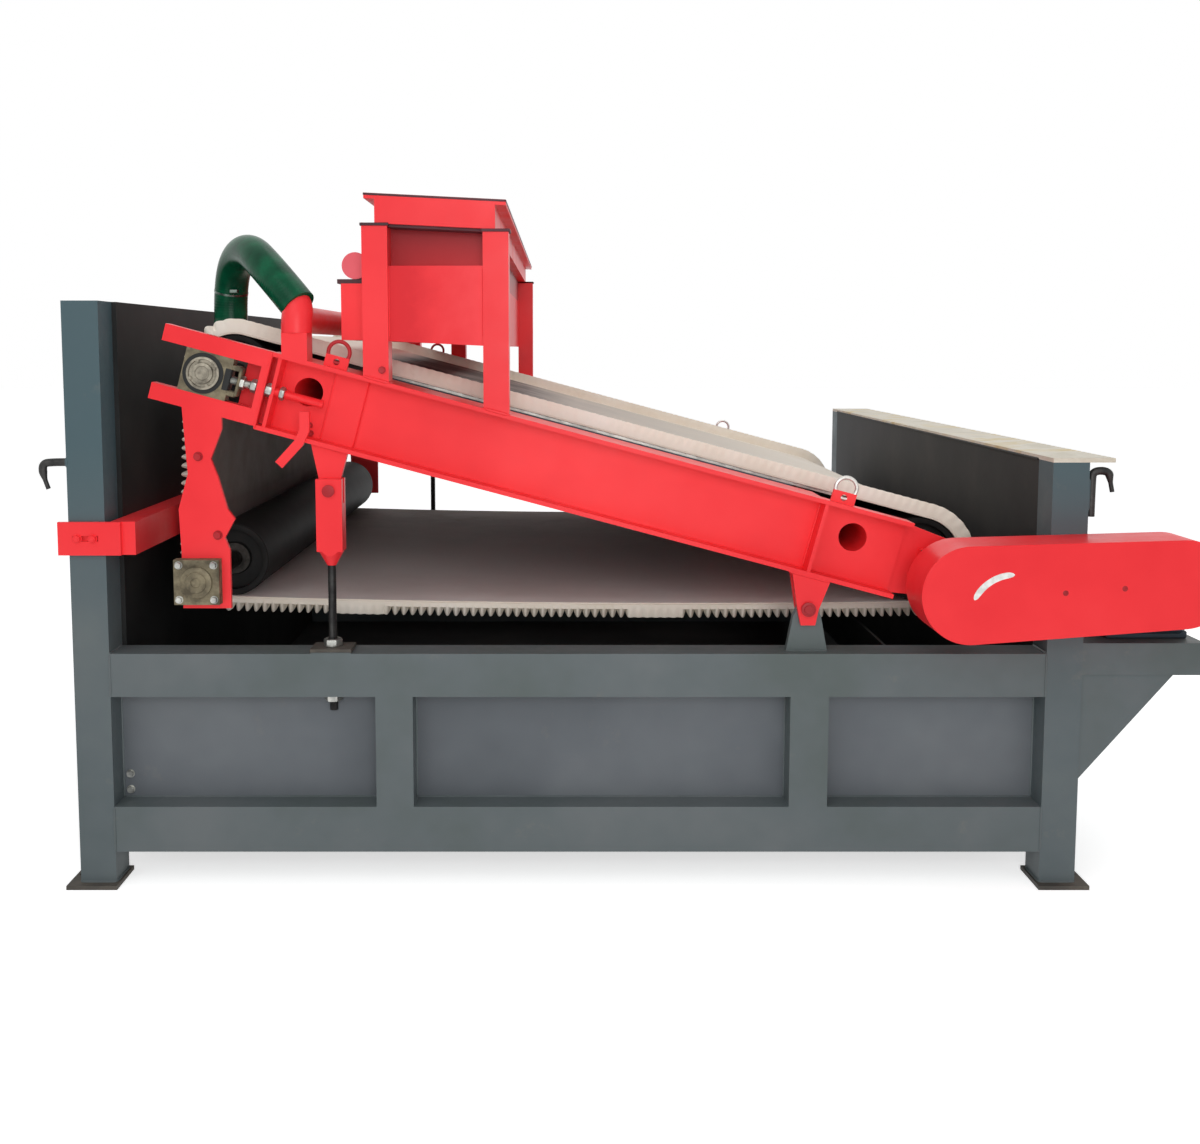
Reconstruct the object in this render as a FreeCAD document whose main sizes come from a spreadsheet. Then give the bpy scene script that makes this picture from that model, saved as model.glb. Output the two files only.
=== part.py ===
import FreeCAD, Part
import math
import os
import re
import Sketcher

# Plate magnetic separator: a wide belt on a sloping deck over a welded tank frame.
# X runs to the drive end, Y to the back, Z up; the origin is the frame's centre on the ground.

SIZES = [
    # Tank frame
    ("base_long", 2800), ("base_deep", 2700), ("post", 100), ("left_tall", 1640), ("right_tall", 1200),
    ("ground_gap", 100), ("low_rail", 130), ("panel_tall", 315), ("top_rail", 122), ("rail_deep", 100),
    ("stile_one_in", 888), ("stile_one_wide", 104), ("stile_two_in", 755), ("stile_two_wide", 107),
    ("panel_recess", 80), ("panel_thick", 6), ("left_wall_thick", 107), ("right_wall_thick", 94),
    ("wall_inset", 6), ("cap_thick", 12), ("cap_out", 70), ("floor_thick", 8), ("floor_up", 50),
    ("foot_thick", 12), ("foot_out", 32), ("foot_in", 10), ("foot_front", 26), ("anchor_bore", 16),
    ("hook_bar", 22), ("hook_set", 2), ("hook_out", 80), ("hook_drop", 85), ("left_hook_up", 1200),
    ("right_hook_down", 24),
    ("chute_in", 525), ("chute_top_down", 2), ("chute_run", 185), ("chute_drop", 335),
    ("chute_thick", 8),
    # Drive platform and guard
    ("platform_long", 340), ("platform_deep", 620), ("platform_top", 697), ("platform_tall", 90),
    ("gusset_thick", 10), ("gusset_set", 5), ("gusset_run", 256), ("gusset_drop", 299), ("motor_out", 200),
    ("motor_up", 193), ("gearbox_over", 84), ("gearbox_wide", 230), ("gearbox_deep", 170),
    ("motor_bore", 190),
    ("motor_axis_up", 108), ("motor_long", 330), ("cowl_long", 60), ("cowl_over", 6),
    ("output_shaft", 50), ("motor_back", 40),
    ("terminal_tall", 110), ("terminal_long", 130), ("terminal_from", 60), ("terminal_out", 44),
    ("guard_deep", 147), ("guard_near", 132), ("guard_far", 119), ("guard_down", 12), ("guard_sheet", 4),
    ("guard_back_thick", 6), ("guard_slack", 20), ("motor_slack", 6),
    # Scraper
    ("scraper_wide", 68), ("scraper_tall", 92), ("scraper_mid_up", 991), ("scraper_off_wall", 2),
    ("bracket_thick", 12), ("bracket_past", 26), ("bracket_more", 20), ("bracket_slot", 70),
    ("bracket_slot_tall", 16), ("bracket_skin", 2),
    # Deck
    ("slope", 15), ("pin_in", 760), ("pin_up", 122), ("deck_above", 307),
    ("beam_right", 218), ("beam_tall", 218), ("flange_wide", 70), ("flange_thick", 12),
    ("web_thick", 9), ("beam_set", 15), ("pin_plane", 45), ("rib_thick", 10), ("rib_back", 6),
    ("rib_one_in", 23), ("rib_two", 28), ("splice_in", 218), ("splice_wide", 90), ("splice_thick", 8),
    ("tube_bore", 80), ("tube_wall", 8), ("tube_one_in", 108), ("tube_two", 81), ("tube_down", 87),
    ("web_past", 75),
    ("bed_thick", 8), ("magnet_thick", 150), ("magnet_clear", 82), ("magnet_past", 102),
    ("crossbar_wide", 80), ("crossbar_tall", 50),
    # Belt and rollers
    ("belt_wide", 2032), ("belt_thick", 6), ("belt_over", 5), ("belt_gap", 0.5), ("bed_gap", 1),
    ("wall_tall", 40), ("wall_band", 30), ("belt_sag", 12), ("roller_dia", 220), ("drum_dia", 256),
    ("roller_short", 22), ("shaft_dia", 50), ("take_in", 376), ("return_in", 352),
    ("return_up", 203.476), ("drum_in", 363), ("running_fit", 0.3), ("shaft_hole_slack", 10),
    # Hinge
    ("ear_thick", 24), ("ear_round", 56), ("pin_dia", 30), ("side_gap", 1), ("cheek_thick", 14),
    ("pedestal_foot", 115), ("pedestal_shoulder", 78), ("pedestal_tall", 98), ("lug_left", 46),
    ("lug_right", 60),
    ("lug_waist", 60), ("lug_foot", 40), ("lug_reach", 46), ("pin_head", 6),
    # Screw jack
    ("jack_in", 713), ("jack_pin_down", 116.708), ("jack_pin_dia", 26), ("tongue_thick", 20),
    ("tongue_top_wide", 101), ("tongue_wide", 60), ("clevis_wide", 72), ("clevis_over", 32),
    ("clevis_long", 170), ("clevis_cheek", 18), ("clevis_root", 8), ("rod_dia", 24), ("rod_slack", 3.5),
    ("rod_past", 172), ("nut_across", 46), ("nut_tall", 22), ("taper_tall", 41),
    ("jack_plate_wide", 116), ("jack_plate_deep", 84), ("jack_plate_thick", 12), ("rail_hole_slack", 6),
    # Roller arms, bearings and take-up
    ("arm_thick", 12), ("arm_left", 37), ("arm_right", 71), ("return_flange", 125),
    ("return_flange_thick", 30), ("hub_dia", 92),
    ("take_housing", 118), ("take_neck", 15), ("take_cover", 2), ("guide_low", 45),
    ("guide_thick", 40), ("guide_fit", 0.3), ("take_left", 130), ("take_right", 150),
    ("take_end", 20), ("screw_dia", 24), ("screw_long", 260), ("drum_housing", 150),
    ("drum_housing_thick", 42), ("drum_housing_back", 4), ("drum_plate_left", 190),
    # Feed hopper
    ("leg", 70), ("leg_in", 813), ("leg_gap", 258), ("hopper_lean", 2.8), ("hopper_back", 15),
    ("hopper_up", 98.394), ("hopper_tall", 316), ("hopper_sheet", 6), ("frame_tall", 65),
    ("frame_lip", 15), ("frame_over", 34), ("lip_over", 29), ("mouth_rim", 50), ("outlet_wide", 90),
    ("feed_wide", 70), ("feed_tall", 156), ("feed_lip", 12), ("feed_lip_over", 10),
    ("hopper_short", 60), ("step_up", 201), ("step_deep", 55), ("feed_pipe", 74),
    ("feed_pipe_left", 30),
    # Wash water
    ("wash_gap", 187), ("wash_post", 70), ("wash_post_up", 67.287), ("wash_pipe", 76),
    ("socket_dia", 84), ("socket_up", 42), ("socket_reach", 62), ("hose_dia", 100),
    ("hose_back", 370), ("hose_left", 281), ("hose_rise", 215), ("outlet_dia", 84),
    ("outlet_tall", 60), ("outlet_up", 12),
    # Lifting rings and lever
    ("ring_bar", 16), ("ring_wide", 66), ("ring_lug_thick", 12), ("ring_left_in", 169),
    ("ring_right", 16), ("lever_thick", 14), ("lever_reach", 301),
]

# Places along X, tied to the ends of the frame, and heights over the deck
PLACES = [
    ("pin_x", "=base_long / 2 - pin_in"), ("drum_x", "=base_long / 2 - drum_in"),
    ("motor_at", "=base_long / 2 + motor_out"), ("chute_left", "=base_long / 2 - chute_in"),
    ("stile_one_at", "=stile_one_in - base_long / 2"), ("stile_two_at", "=base_long / 2 - stile_two_in"),
    ("jack_x", "=jack_in - base_long / 2"), ("take_x", "=take_in - base_long / 2"),
    ("return_x", "=return_in - base_long / 2"), ("leg_left_at", "=leg_in - base_long / 2"),
    ("leg_right_at", "=leg_left_at + leg + leg_gap"), ("wash_x", "=leg_left_at - wash_gap"),
    ("pin_z", "=ground_gap + low_rail + panel_tall + top_rail + pin_up"),
    ("deck_at_leg", "=pin_z + deck_above / cos(slope) - (leg_left_at - pin_x) * tan(slope)"),
    ("hopper_low", "=deck_at_leg + hopper_up"), ("hopper_rim", "=hopper_low + hopper_tall"),
    ("feed_top", "=hopper_low + feed_tall"), ("hopper_step", "=hopper_low + step_up"),
    ("wash_post_top", "=deck_at_leg + wash_gap * tan(slope) + wash_post_up"),
]

doc = FreeCAD.newDocument("PlateMagneticSeparator")
sheet = doc.addObject("Spreadsheet::Sheet", "Sizes")
for row, (alias, number) in enumerate(SIZES + PLACES, start=1):
    sheet.set(f"A{row}", alias)
    sheet.set(f"B{row}", str(number))
    sheet.setAlias(f"B{row}", alias)
doc.recompute()

NAMES = {alias for alias, number in SIZES + PLACES}
MIRROR_NORMAL = FreeCAD.Vector(0, 1, 0)
subparts = {}


def bound(text):
    """The same sum with each size name pointing at its cell."""
    def cell(word):
        return "Sizes." + word.group() if word.group() in NAMES else word.group()

    return re.sub(r"[a-z_]+", cell, text)


def value(text):
    """The number that a sum of size names comes to."""
    result = sheet.evalExpression(bound(str(text)))
    return float(getattr(result, "Value", result))


def bind(thing, **sums):
    """Ties properties of a shape to sums of size names."""
    for name, text in sums.items():
        thing.setExpression(name, bound(str(text)))


def place(thing, x="0", y="0", z="0"):
    """Puts a shape's corner or centre at a place given as sums."""
    thing.setExpression("Placement.Base.x", bound(str(x)))
    thing.setExpression("Placement.Base.y", bound(str(y)))
    thing.setExpression("Placement.Base.z", bound(str(z)))


def block(low, high):
    """A box from its low corner to its high corner, each a triple of sums."""
    thing = doc.addObject("Part::Box", "Block")
    bind(
        thing,
        Length=f"({high[0]}) - ({low[0]})",
        Width=f"({high[1]}) - ({low[1]})",
        Height=f"({high[2]}) - ({low[2]})",
    )
    place(thing, *low)
    return thing


TURNS = {"x": ((0, 1, 0), 90), "y": ((1, 0, 0), -90), "z": ((0, 0, 1), 0)}


def rod(dia, start, length, along="y"):
    """A round bar from a start point, running along plus x, y or z."""
    thing = doc.addObject("Part::Cylinder", "Rod")
    axis, angle = TURNS[along]
    thing.Placement = FreeCAD.Placement(FreeCAD.Vector(), FreeCAD.Rotation(FreeCAD.Vector(*axis), angle))
    bind(thing, Radius=f"({dia}) / 2", Height=length)
    place(thing, *start)
    return thing


def ball(dia, centre):
    """A ball that closes the elbow of a round bar."""
    thing = doc.addObject("Part::Sphere", "Ball")
    bind(thing, Radius=f"({dia}) / 2")
    place(thing, *centre)
    return thing


def slab(points, y_low, thick):
    """A plate with an outline in X and Z, from y_low and thick along plus Y."""
    sketch = doc.addObject("Sketcher::SketchObject", "Outline")
    corners = [FreeCAD.Vector(value(x), value(z), 0) for x, z in points]
    count = len(corners)
    for index in range(count):
        sketch.addGeometry(Part.LineSegment(corners[index], corners[(index + 1) % count]))
    for index in range(count):
        sketch.addConstraint(Sketcher.Constraint("Coincident", index, 2, (index + 1) % count, 1))
    for index, (x, z) in enumerate(points):
        for kind, text in (("DistanceX", x), ("DistanceY", z)):
            number = sketch.addConstraint(Sketcher.Constraint(kind, -1, 1, index, 1, value(text)))
            sketch.setExpression(f"Constraints[{number}]", bound(str(text)))
    sketch.Placement = FreeCAD.Placement(FreeCAD.Vector(), FreeCAD.Rotation(FreeCAD.Vector(1, 0, 0), 90))
    sketch.setExpression("Placement.Base.y", bound(str(y_low)))
    plate = doc.addObject("Part::Extrusion", "Plate")
    plate.Base = sketch
    plate.DirMode = "Custom"
    plate.Dir = FreeCAD.Vector(0, 1, 0)
    plate.Solid = True
    bind(plate, LengthFwd=thick)
    return plate


def hexagon(across, start, tall, bore):
    """A nut standing on a start point, with its bore."""
    thing = doc.addObject("Part::Prism", "Nut")
    thing.Polygon = 6
    bind(thing, Circumradius=f"({across}) / 2 / cos(30)", Height=tall)
    place(thing, *start)
    return cut(thing, rod(bore, (start[0], start[1], f"({start[2]}) - 1"), f"({tall}) + 2", "z"))


def cut(base, *tools):
    """The base with each tool taken out of it."""
    for tool in tools:
        result = doc.addObject("Part::Cut", "Cut")
        result.Base = base
        result.Tool = tool
        base = result
    return base


def join(*shapes):
    """Shapes in one piece, or as separate solids where they don't touch."""
    if len(shapes) == 1:
        return shapes[0]
    result = doc.addObject("Part::MultiFuse", "Join")
    result.Shapes = list(shapes)
    return result


def mirrored(shape):
    """The same shape on the other side of the middle plane."""
    result = doc.addObject("Part::Mirroring", "Mirror")
    result.Source = shape
    result.Normal = MIRROR_NORMAL
    return result


def both_sides(*shapes):
    """The shapes and their mirror images at the back."""
    whole = join(*shapes)
    return join(whole, mirrored(whole))


def sub_part(label, shape):
    """Names a finished shape as a sub-part of the object."""
    shape.Label = label
    subparts[label] = shape
    return shape


def on_slope(shape):
    """Turns a shape built level at the hinge pin down the deck's slope."""
    turned = doc.addObject("Part::Compound", "Tilted")
    turned.Links = [shape]
    turned.Placement = FreeCAD.Placement(FreeCAD.Vector(), FreeCAD.Rotation(FreeCAD.Vector(0, 1, 0), 1))
    turned.setExpression("Placement.Rotation.Angle", bound("slope * 1 deg"))
    place(turned, "pin_x", "0", PIN_Z)
    return turned


FRONT = "(-base_deep / 2)"
LEFT = "(-base_long / 2)"
RIGHT = "(base_long / 2)"
LEFT_IN = f"({LEFT} + wall_inset + left_wall_thick)"
RIGHT_IN = f"({RIGHT} - wall_inset - right_wall_thick)"
PANEL_LOW = "(ground_gap + low_rail)"
RAIL_LOW = f"({PANEL_LOW} + panel_tall)"
RAIL_TOP = f"({RAIL_LOW} + top_rail)"
PIN_Z = f"({RAIL_TOP} + pin_up)"
PLANE = f"({FRONT} + pin_plane)"
BEAM_Y = f"({FRONT} + beam_set)"
WEB_Y = f"({BEAM_Y} + flange_wide)"
BELT_EDGE = "(belt_wide / 2)"
TAKE_DROP = "(roller_dia / 2 + belt_gap - belt_over)"
DRUM_DROP = "(drum_dia / 2 + belt_gap - belt_over)"


def deck_z(x):
    """Height of the beams' top flange at a place along X."""
    return f"({PIN_Z} + deck_above / cos(slope) - (({x}) - pin_x) * tan(slope))"


def slope_z(x, drop):
    """Height along X of a line that lies a distance below the beams' top flange."""
    return f"({deck_z(x)} - ({drop}) / cos(slope))"


TAKE_Z = slope_z("take_x", TAKE_DROP)
DRUM_Z = slope_z("drum_x", DRUM_DROP)
RETURN_Z = f"({RAIL_TOP} + return_up)"
RETURN_DROP = f"({TAKE_Z} - {RETURN_Z})"
TAKE_W = f"(deck_above - {TAKE_DROP})"
TAKE_U = f"((take_x - pin_x - {TAKE_W} * sin(slope)) / cos(slope))"
BEAM_END_U = f"({TAKE_U} + take_right + take_end)"
TUBE_ONE_U = f"({BEAM_END_U} + tube_one_in)"
GUIDE_LOW_DROP = f"({TAKE_DROP} + take_housing / 2 + guide_fit + guide_low)"


def posts():
    """Square posts at the corners, the left pair taller."""
    right = f"({RIGHT} - post)"
    for label, x, tall in (("left_posts", LEFT, "left_tall"), ("right_posts", right, "right_tall")):
        post = block((x, FRONT, "foot_thick"), (f"{x} + post", f"{FRONT} + post", tall))
        sub_part(label, both_sides(post))


def foot_plates():
    """A plate under each post, with an anchor hole outside the post."""
    plates = []
    for side in (-1, 1):
        outer = f"({side} * (base_long / 2 + foot_out))"
        inner = f"({side} * (base_long / 2 - post - foot_in))"
        low, high = (outer, inner) if side < 0 else (inner, outer)
        plate = block((low, f"{FRONT} - foot_front", "0"), (high, f"{FRONT} + post + foot_in", "foot_thick"))
        hole = rod(
            "anchor_bore", (f"{side} * (base_long / 2 + foot_out / 2)", f"{FRONT} + post / 2", "-1"),
            "foot_thick + 2", "z",
        )
        plates.append(cut(plate, hole))
    sub_part("foot_plates", both_sides(*plates))


def rails():
    """Long rails between the posts, the top one bored for the jack rod."""
    x_low, x_high = f"{LEFT} + post", f"{RIGHT} - post"
    low = block((x_low, FRONT, "ground_gap"), (x_high, f"{FRONT} + rail_deep", PANEL_LOW))
    sub_part("bottom_rails", both_sides(low))
    top = block((x_low, FRONT, RAIL_LOW), (x_high, f"{FRONT} + rail_deep", RAIL_TOP))
    bore = rod("rod_dia + 2 * rail_hole_slack", ("jack_x", PLANE, f"{RAIL_LOW} - 1"), "top_rail + 2", "z")
    sub_part("top_rails", both_sides(cut(top, bore)))


def stiles_and_panels():
    """Two stiles a side, with recessed sheet panels between them."""
    ends = [(f"{LEFT} + post", f"{RIGHT} - post")]
    edges = [ends[0][0]]
    stiles = []
    for name in ("stile_one", "stile_two"):
        x_low, x_high = f"{name}_at - {name}_wide / 2", f"{name}_at + {name}_wide / 2"
        edges += [x_low, x_high]
        stiles.append(block((x_low, FRONT, PANEL_LOW), (x_high, f"{FRONT} + rail_deep", RAIL_LOW)))
    edges.append(ends[0][1])
    sub_part("stiles", both_sides(*stiles))
    panels = []
    for x_low, x_high in zip(edges[::2], edges[1::2]):
        y_low = f"{FRONT} + panel_recess"
        panels.append(block((x_low, y_low, PANEL_LOW), (x_high, f"{y_low} + panel_thick", RAIL_LOW)))
    front = join(*panels)
    sub_part("back_panels", mirrored(front))
    sub_part("front_panels", front)


def side_walls():
    """Closed end walls of the tank, the right one under an overhanging cap."""
    y_low, y_high = f"{FRONT} + post", f"-{FRONT} - post"
    left = block((f"{LEFT} + wall_inset", y_low, "ground_gap"), (LEFT_IN, y_high, "left_tall"))
    sub_part("left_wall", left)
    right = block((RIGHT_IN, y_low, "ground_gap"), (f"{RIGHT} - wall_inset", y_high, "right_tall"))
    sub_part("right_wall", right)
    cap_high = (f"{RIGHT} + cap_out", f"-{FRONT}", "right_tall + cap_thick")
    cap = block((RIGHT_IN, FRONT, "right_tall"), cap_high)
    sub_part("right_wall_cap", cap)


def tank_inside():
    """The tank's floor, and the chute under the drive drum."""
    y_low = f"{FRONT} + rail_deep"
    low = "ground_gap + floor_up"
    floor = block((LEFT_IN, y_low, low), (RIGHT_IN, f"-({y_low})", f"{low} + floor_thick"))
    sub_part("tank_floor", floor)
    top, foot = f"({RAIL_TOP} - chute_top_down)", f"({RAIL_TOP} - chute_top_down - chute_drop)"
    outline = [
        ("chute_left", top), ("chute_left + chute_thick", top),
        ("chute_left + chute_run + chute_thick", foot), ("chute_left + chute_run", foot),
    ]
    sub_part("tailings_chute", slab(outline, f"{FRONT} + rail_deep", "base_deep - 2 * rail_deep"))


def lifting_hooks():
    """Bent round bars on the outer faces of the posts."""
    hooks = []
    for side, up in ((-1, "left_hook_up"), (1, "(right_tall - right_hook_down)")):
        reach = "(hook_out - hook_bar / 2)"
        start = f"{LEFT} - {reach}" if side < 0 else RIGHT
        corner = f"{side} * (base_long / 2 + {reach})"
        y = f"{FRONT} + hook_bar / 2 + hook_set"
        arm = rod("hook_bar", (start, y, up), reach, "x")
        foot = (corner, y, f"{up} - hook_drop + hook_bar / 2")
        drop = rod("hook_bar", foot, "hook_drop - hook_bar / 2", "z")
        hooks.append(join(arm, drop, ball("hook_bar", (corner, y, up))))
    sub_part("lifting_hooks", both_sides(*hooks))


def drive_platform():
    """A folded shelf on the right posts, its gussets and the gear motor on it."""
    x_low, x_high = RIGHT, f"{RIGHT} + platform_long"
    low = "(platform_top - platform_tall)"
    y_high = f"{FRONT} + platform_deep"
    shelf = block((x_low, FRONT, low), (x_high, y_high, "platform_top"))
    hollow = block(
        (f"{x_low} + gusset_thick", f"{FRONT} + gusset_thick", f"{low} - 1"),
        (f"{x_high} - gusset_thick", f"{y_high} - gusset_thick", "platform_top - gusset_thick"),
    )
    outline = [(x_low, low), (x_low, f"{low} - gusset_drop"), (f"{x_low} + gusset_run", low)]
    near = slab(outline, f"{FRONT} + gusset_set", "gusset_thick")
    far = slab(outline, f"{y_high} - gusset_thick", "gusset_thick")
    sub_part("motor_platform", join(cut(shelf, hollow), near, far))


MOTOR_Z = "(platform_top + motor_up)"
BOX_Y = f"({FRONT} + motor_back)"


def gear_motor():
    """Shaft gearbox with its foot on the platform, motor and fan cowl behind."""
    half = "gearbox_wide / 2"
    box = block(
        (f"motor_at - {half}", BOX_Y, "platform_top"),
        (f"motor_at + {half}", f"{BOX_Y} + gearbox_deep", f"{MOTOR_Z} + gearbox_over"),
    )
    axis = "(platform_top + motor_axis_up)"
    frame = rod("motor_bore", ("motor_at", f"{BOX_Y} + gearbox_deep", axis), "motor_long")
    cowl_dia = "motor_bore + 2 * cowl_over"
    cowl = rod(cowl_dia, ("motor_at", f"{BOX_Y} + gearbox_deep + motor_long", axis), "cowl_long")
    y_low = f"({BOX_Y} + gearbox_deep + terminal_from)"
    terminal = block(
        ("motor_at", y_low, f"{axis} - terminal_tall / 2"),
        ("motor_at + motor_bore / 2 + terminal_out", f"{y_low} + terminal_long", f"{axis} + terminal_tall / 2"),
    )
    tip = f"{FRONT} - guard_deep / 2"
    shaft = rod("output_shaft", ("motor_at", tip, MOTOR_Z), f"{BOX_Y} - ({tip})")
    sub_part("gear_motor", join(box, frame, cowl, terminal, shaft))


def guard_outline(near, far):
    """Two unlike circles round the shafts and the straight lines that touch both."""
    first = FreeCAD.Vector(value("drum_x"), 0, value(DRUM_Z) - value("guard_down"))
    second = FreeCAD.Vector(value("motor_at"), 0, value(MOTOR_Z))
    across = second - first
    heading = math.atan2(across.z, across.x)
    lean = math.acos((near - far) / across.Length)

    def rim(centre, radius, angle):
        return centre + FreeCAD.Vector(radius * math.cos(angle), 0, radius * math.sin(angle))

    top = [rim(first, near, heading + lean), rim(second, far, heading + lean)]
    low = [rim(first, near, heading - lean), rim(second, far, heading - lean)]
    left_end = Part.Arc(low[0], rim(first, near, heading + math.pi), top[0])
    right_end = Part.Arc(top[1], rim(second, far, heading), low[1])
    edges = [left_end, Part.LineSegment(top[0], top[1]), right_end, Part.LineSegment(low[1], low[0])]
    return Part.Face(Part.Wire([edge.toShape() for edge in edges]))


def drive_guard():
    """A sheet cover over the chain drive, open at the back, and its back plate."""
    near, far, sheet_wall = value("guard_near"), value("guard_far"), value("guard_sheet")
    deep, back = value("guard_deep"), value("guard_back_thick")
    shift = FreeCAD.Vector(0, value(FRONT) - deep, 0)
    outer = guard_outline(near, far).extrude(FreeCAD.Vector(0, deep - back, 0))
    inner = guard_outline(near - sheet_wall, far - sheet_wall).extrude(FreeCAD.Vector(0, deep, 0))
    inner.translate(FreeCAD.Vector(0, sheet_wall, 0))
    cover = outer.cut(inner)
    guard = doc.addObject("Part::Feature", "Guard")
    guard.Shape = cover
    guard.Placement = FreeCAD.Placement(shift, FreeCAD.Rotation())
    sub_part("drive_guard", guard)
    plate = guard_outline(near, far).extrude(FreeCAD.Vector(0, back, 0))
    for x, z, bore in (
        ("drum_x", DRUM_Z, "shaft_dia + 2 * guard_slack"),
        ("motor_at", MOTOR_Z, "output_shaft + 2 * motor_slack"),
    ):
        centre = FreeCAD.Vector(value(x), -1, value(z))
        plate = plate.cut(Part.makeCylinder(value(bore) / 2, back + 2, centre, FreeCAD.Vector(0, 1, 0)))
    rear = doc.addObject("Part::Feature", "GuardBack")
    rear.Shape = plate
    rear.Placement = FreeCAD.Placement(FreeCAD.Vector(0, value(FRONT) - back, 0), FreeCAD.Rotation())
    sub_part("guard_back_plate", rear)


def scraper():
    """A bar across the tank beside the belt, on slotted plates on the left posts."""
    x_low = f"({LEFT_IN} + scraper_off_wall)"
    z_low, z_high = "scraper_mid_up - scraper_tall / 2", "scraper_mid_up + scraper_tall / 2"
    bar = block((x_low, FRONT, z_low), (f"{x_low} + scraper_wide", f"-{FRONT}", z_high))
    sub_part("scraper_bar", bar)
    plate = block(
        (f"{LEFT} - bracket_past", f"{FRONT} - bracket_thick", z_low),
        (f"{LEFT} + post + bracket_past + bracket_more", FRONT, z_high),
    )
    middle, half = f"({LEFT} + post / 2)", "bracket_slot_tall / 2"
    slot = block(
        (f"{middle} - bracket_slot / 2", f"{FRONT} - bracket_thick - 1", f"scraper_mid_up - {half}"),
        (f"{middle} + bracket_slot / 2", f"{FRONT} - bracket_skin", f"scraper_mid_up + {half}"),
    )
    sub_part("scraper_brackets", both_sides(cut(plate, slot)))


def side_beams():
    """Channel beams down each side of the deck, flanges outwards, with cross tubes."""
    low, high = "(deck_above - beam_tall)", "deck_above"
    y_out = f"{WEB_Y} + web_thick"
    bar = block((BEAM_END_U, BEAM_Y, low), ("beam_right", y_out, high))
    trough = block(
        (f"{BEAM_END_U} - 1", f"{BEAM_Y} - 1", f"{low} + flange_thick"),
        ("beam_right + 1", WEB_Y, f"{high} - flange_thick"),
    )
    holes = []
    tubes = []
    outer = "tube_bore + 2 * tube_wall"
    for x in (TUBE_ONE_U, "tube_two"):
        z = "deck_above - tube_down"
        holes.append(rod("tube_bore", (x, f"{WEB_Y} - 1", z), "web_thick + 2"))
        tube = rod(outer, (x, y_out, z), f"-2 * ({y_out})")
        tubes.append(cut(tube, rod("tube_bore", (x, f"{y_out} - 1", z), f"-2 * ({y_out}) + 2")))
    front = cut(bar, trough, *holes)
    sub_part("back_beam", on_slope(mirrored(front)))
    sub_part("front_beam", on_slope(front))
    sub_part("cross_tubes", on_slope(join(*tubes)))
    ribs = []
    for x in (f"({BEAM_END_U} + rib_one_in)", "-rib_two"):
        ribs.append(block(
            (f"{x} - rib_thick / 2", f"{BEAM_Y} + rib_back", f"{low} + flange_thick"),
            (f"{x} + rib_thick / 2", WEB_Y, f"{high} - flange_thick"),
        ))
    ribs.append(block(
        (f"{BEAM_END_U} - web_past", WEB_Y, f"{low} + flange_thick"),
        (BEAM_END_U, f"{WEB_Y} + web_thick", f"{high} - flange_thick"),
    ))
    splice = f"({BEAM_END_U} + splice_in)"
    ribs.append(block(
        (f"{splice} - splice_wide / 2", f"{WEB_Y} - splice_thick", f"{low} + flange_thick"),
        (f"{splice} + splice_wide / 2", WEB_Y, f"{high} - flange_thick"),
    ))
    start = (BEAM_END_U, f"{BEAM_Y} + guide_thick / 2", TAKE_W)
    screw_way = rod("screw_dia + 2 * running_fit", start, "screw_long", "x")
    sub_part("beam_ribs", on_slope(both_sides(cut(join(*ribs), screw_way))))


def deck_bed():
    """The slider bed under the belt, the magnet box under it and its crossbars."""
    inside = f"({WEB_Y} + web_thick)"
    half = f"({BELT_EDGE} - roller_short / 2)"
    bed_low = "(deck_above + belt_over - bed_gap - bed_thick)"
    left = f"({TUBE_ONE_U} + tube_bore / 2 + tube_wall + magnet_clear)"
    bed = block((left, f"-{half}", bed_low), ("tube_two", half, f"{bed_low} + bed_thick"))
    sub_part("slider_bed", on_slope(bed))
    box_low = f"({bed_low} - magnet_thick)"
    box_right = "(tube_two - tube_bore / 2 - tube_wall - magnet_past)"
    box = block((left, f"-{half}", box_low), (box_right, half, bed_low))
    sub_part("magnet_box", on_slope(box))
    bars = []
    for share in ("0.12", "0.5", "0.82"):
        x = f"({left} * {share} - crossbar_wide / 2)"
        bars.append(block(
            (x, inside, f"{box_low} - crossbar_tall"),
            (f"{x} + crossbar_wide", f"-{inside}", box_low),
        ))
    sub_part("deck_crossbars", on_slope(join(*bars)))


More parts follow.
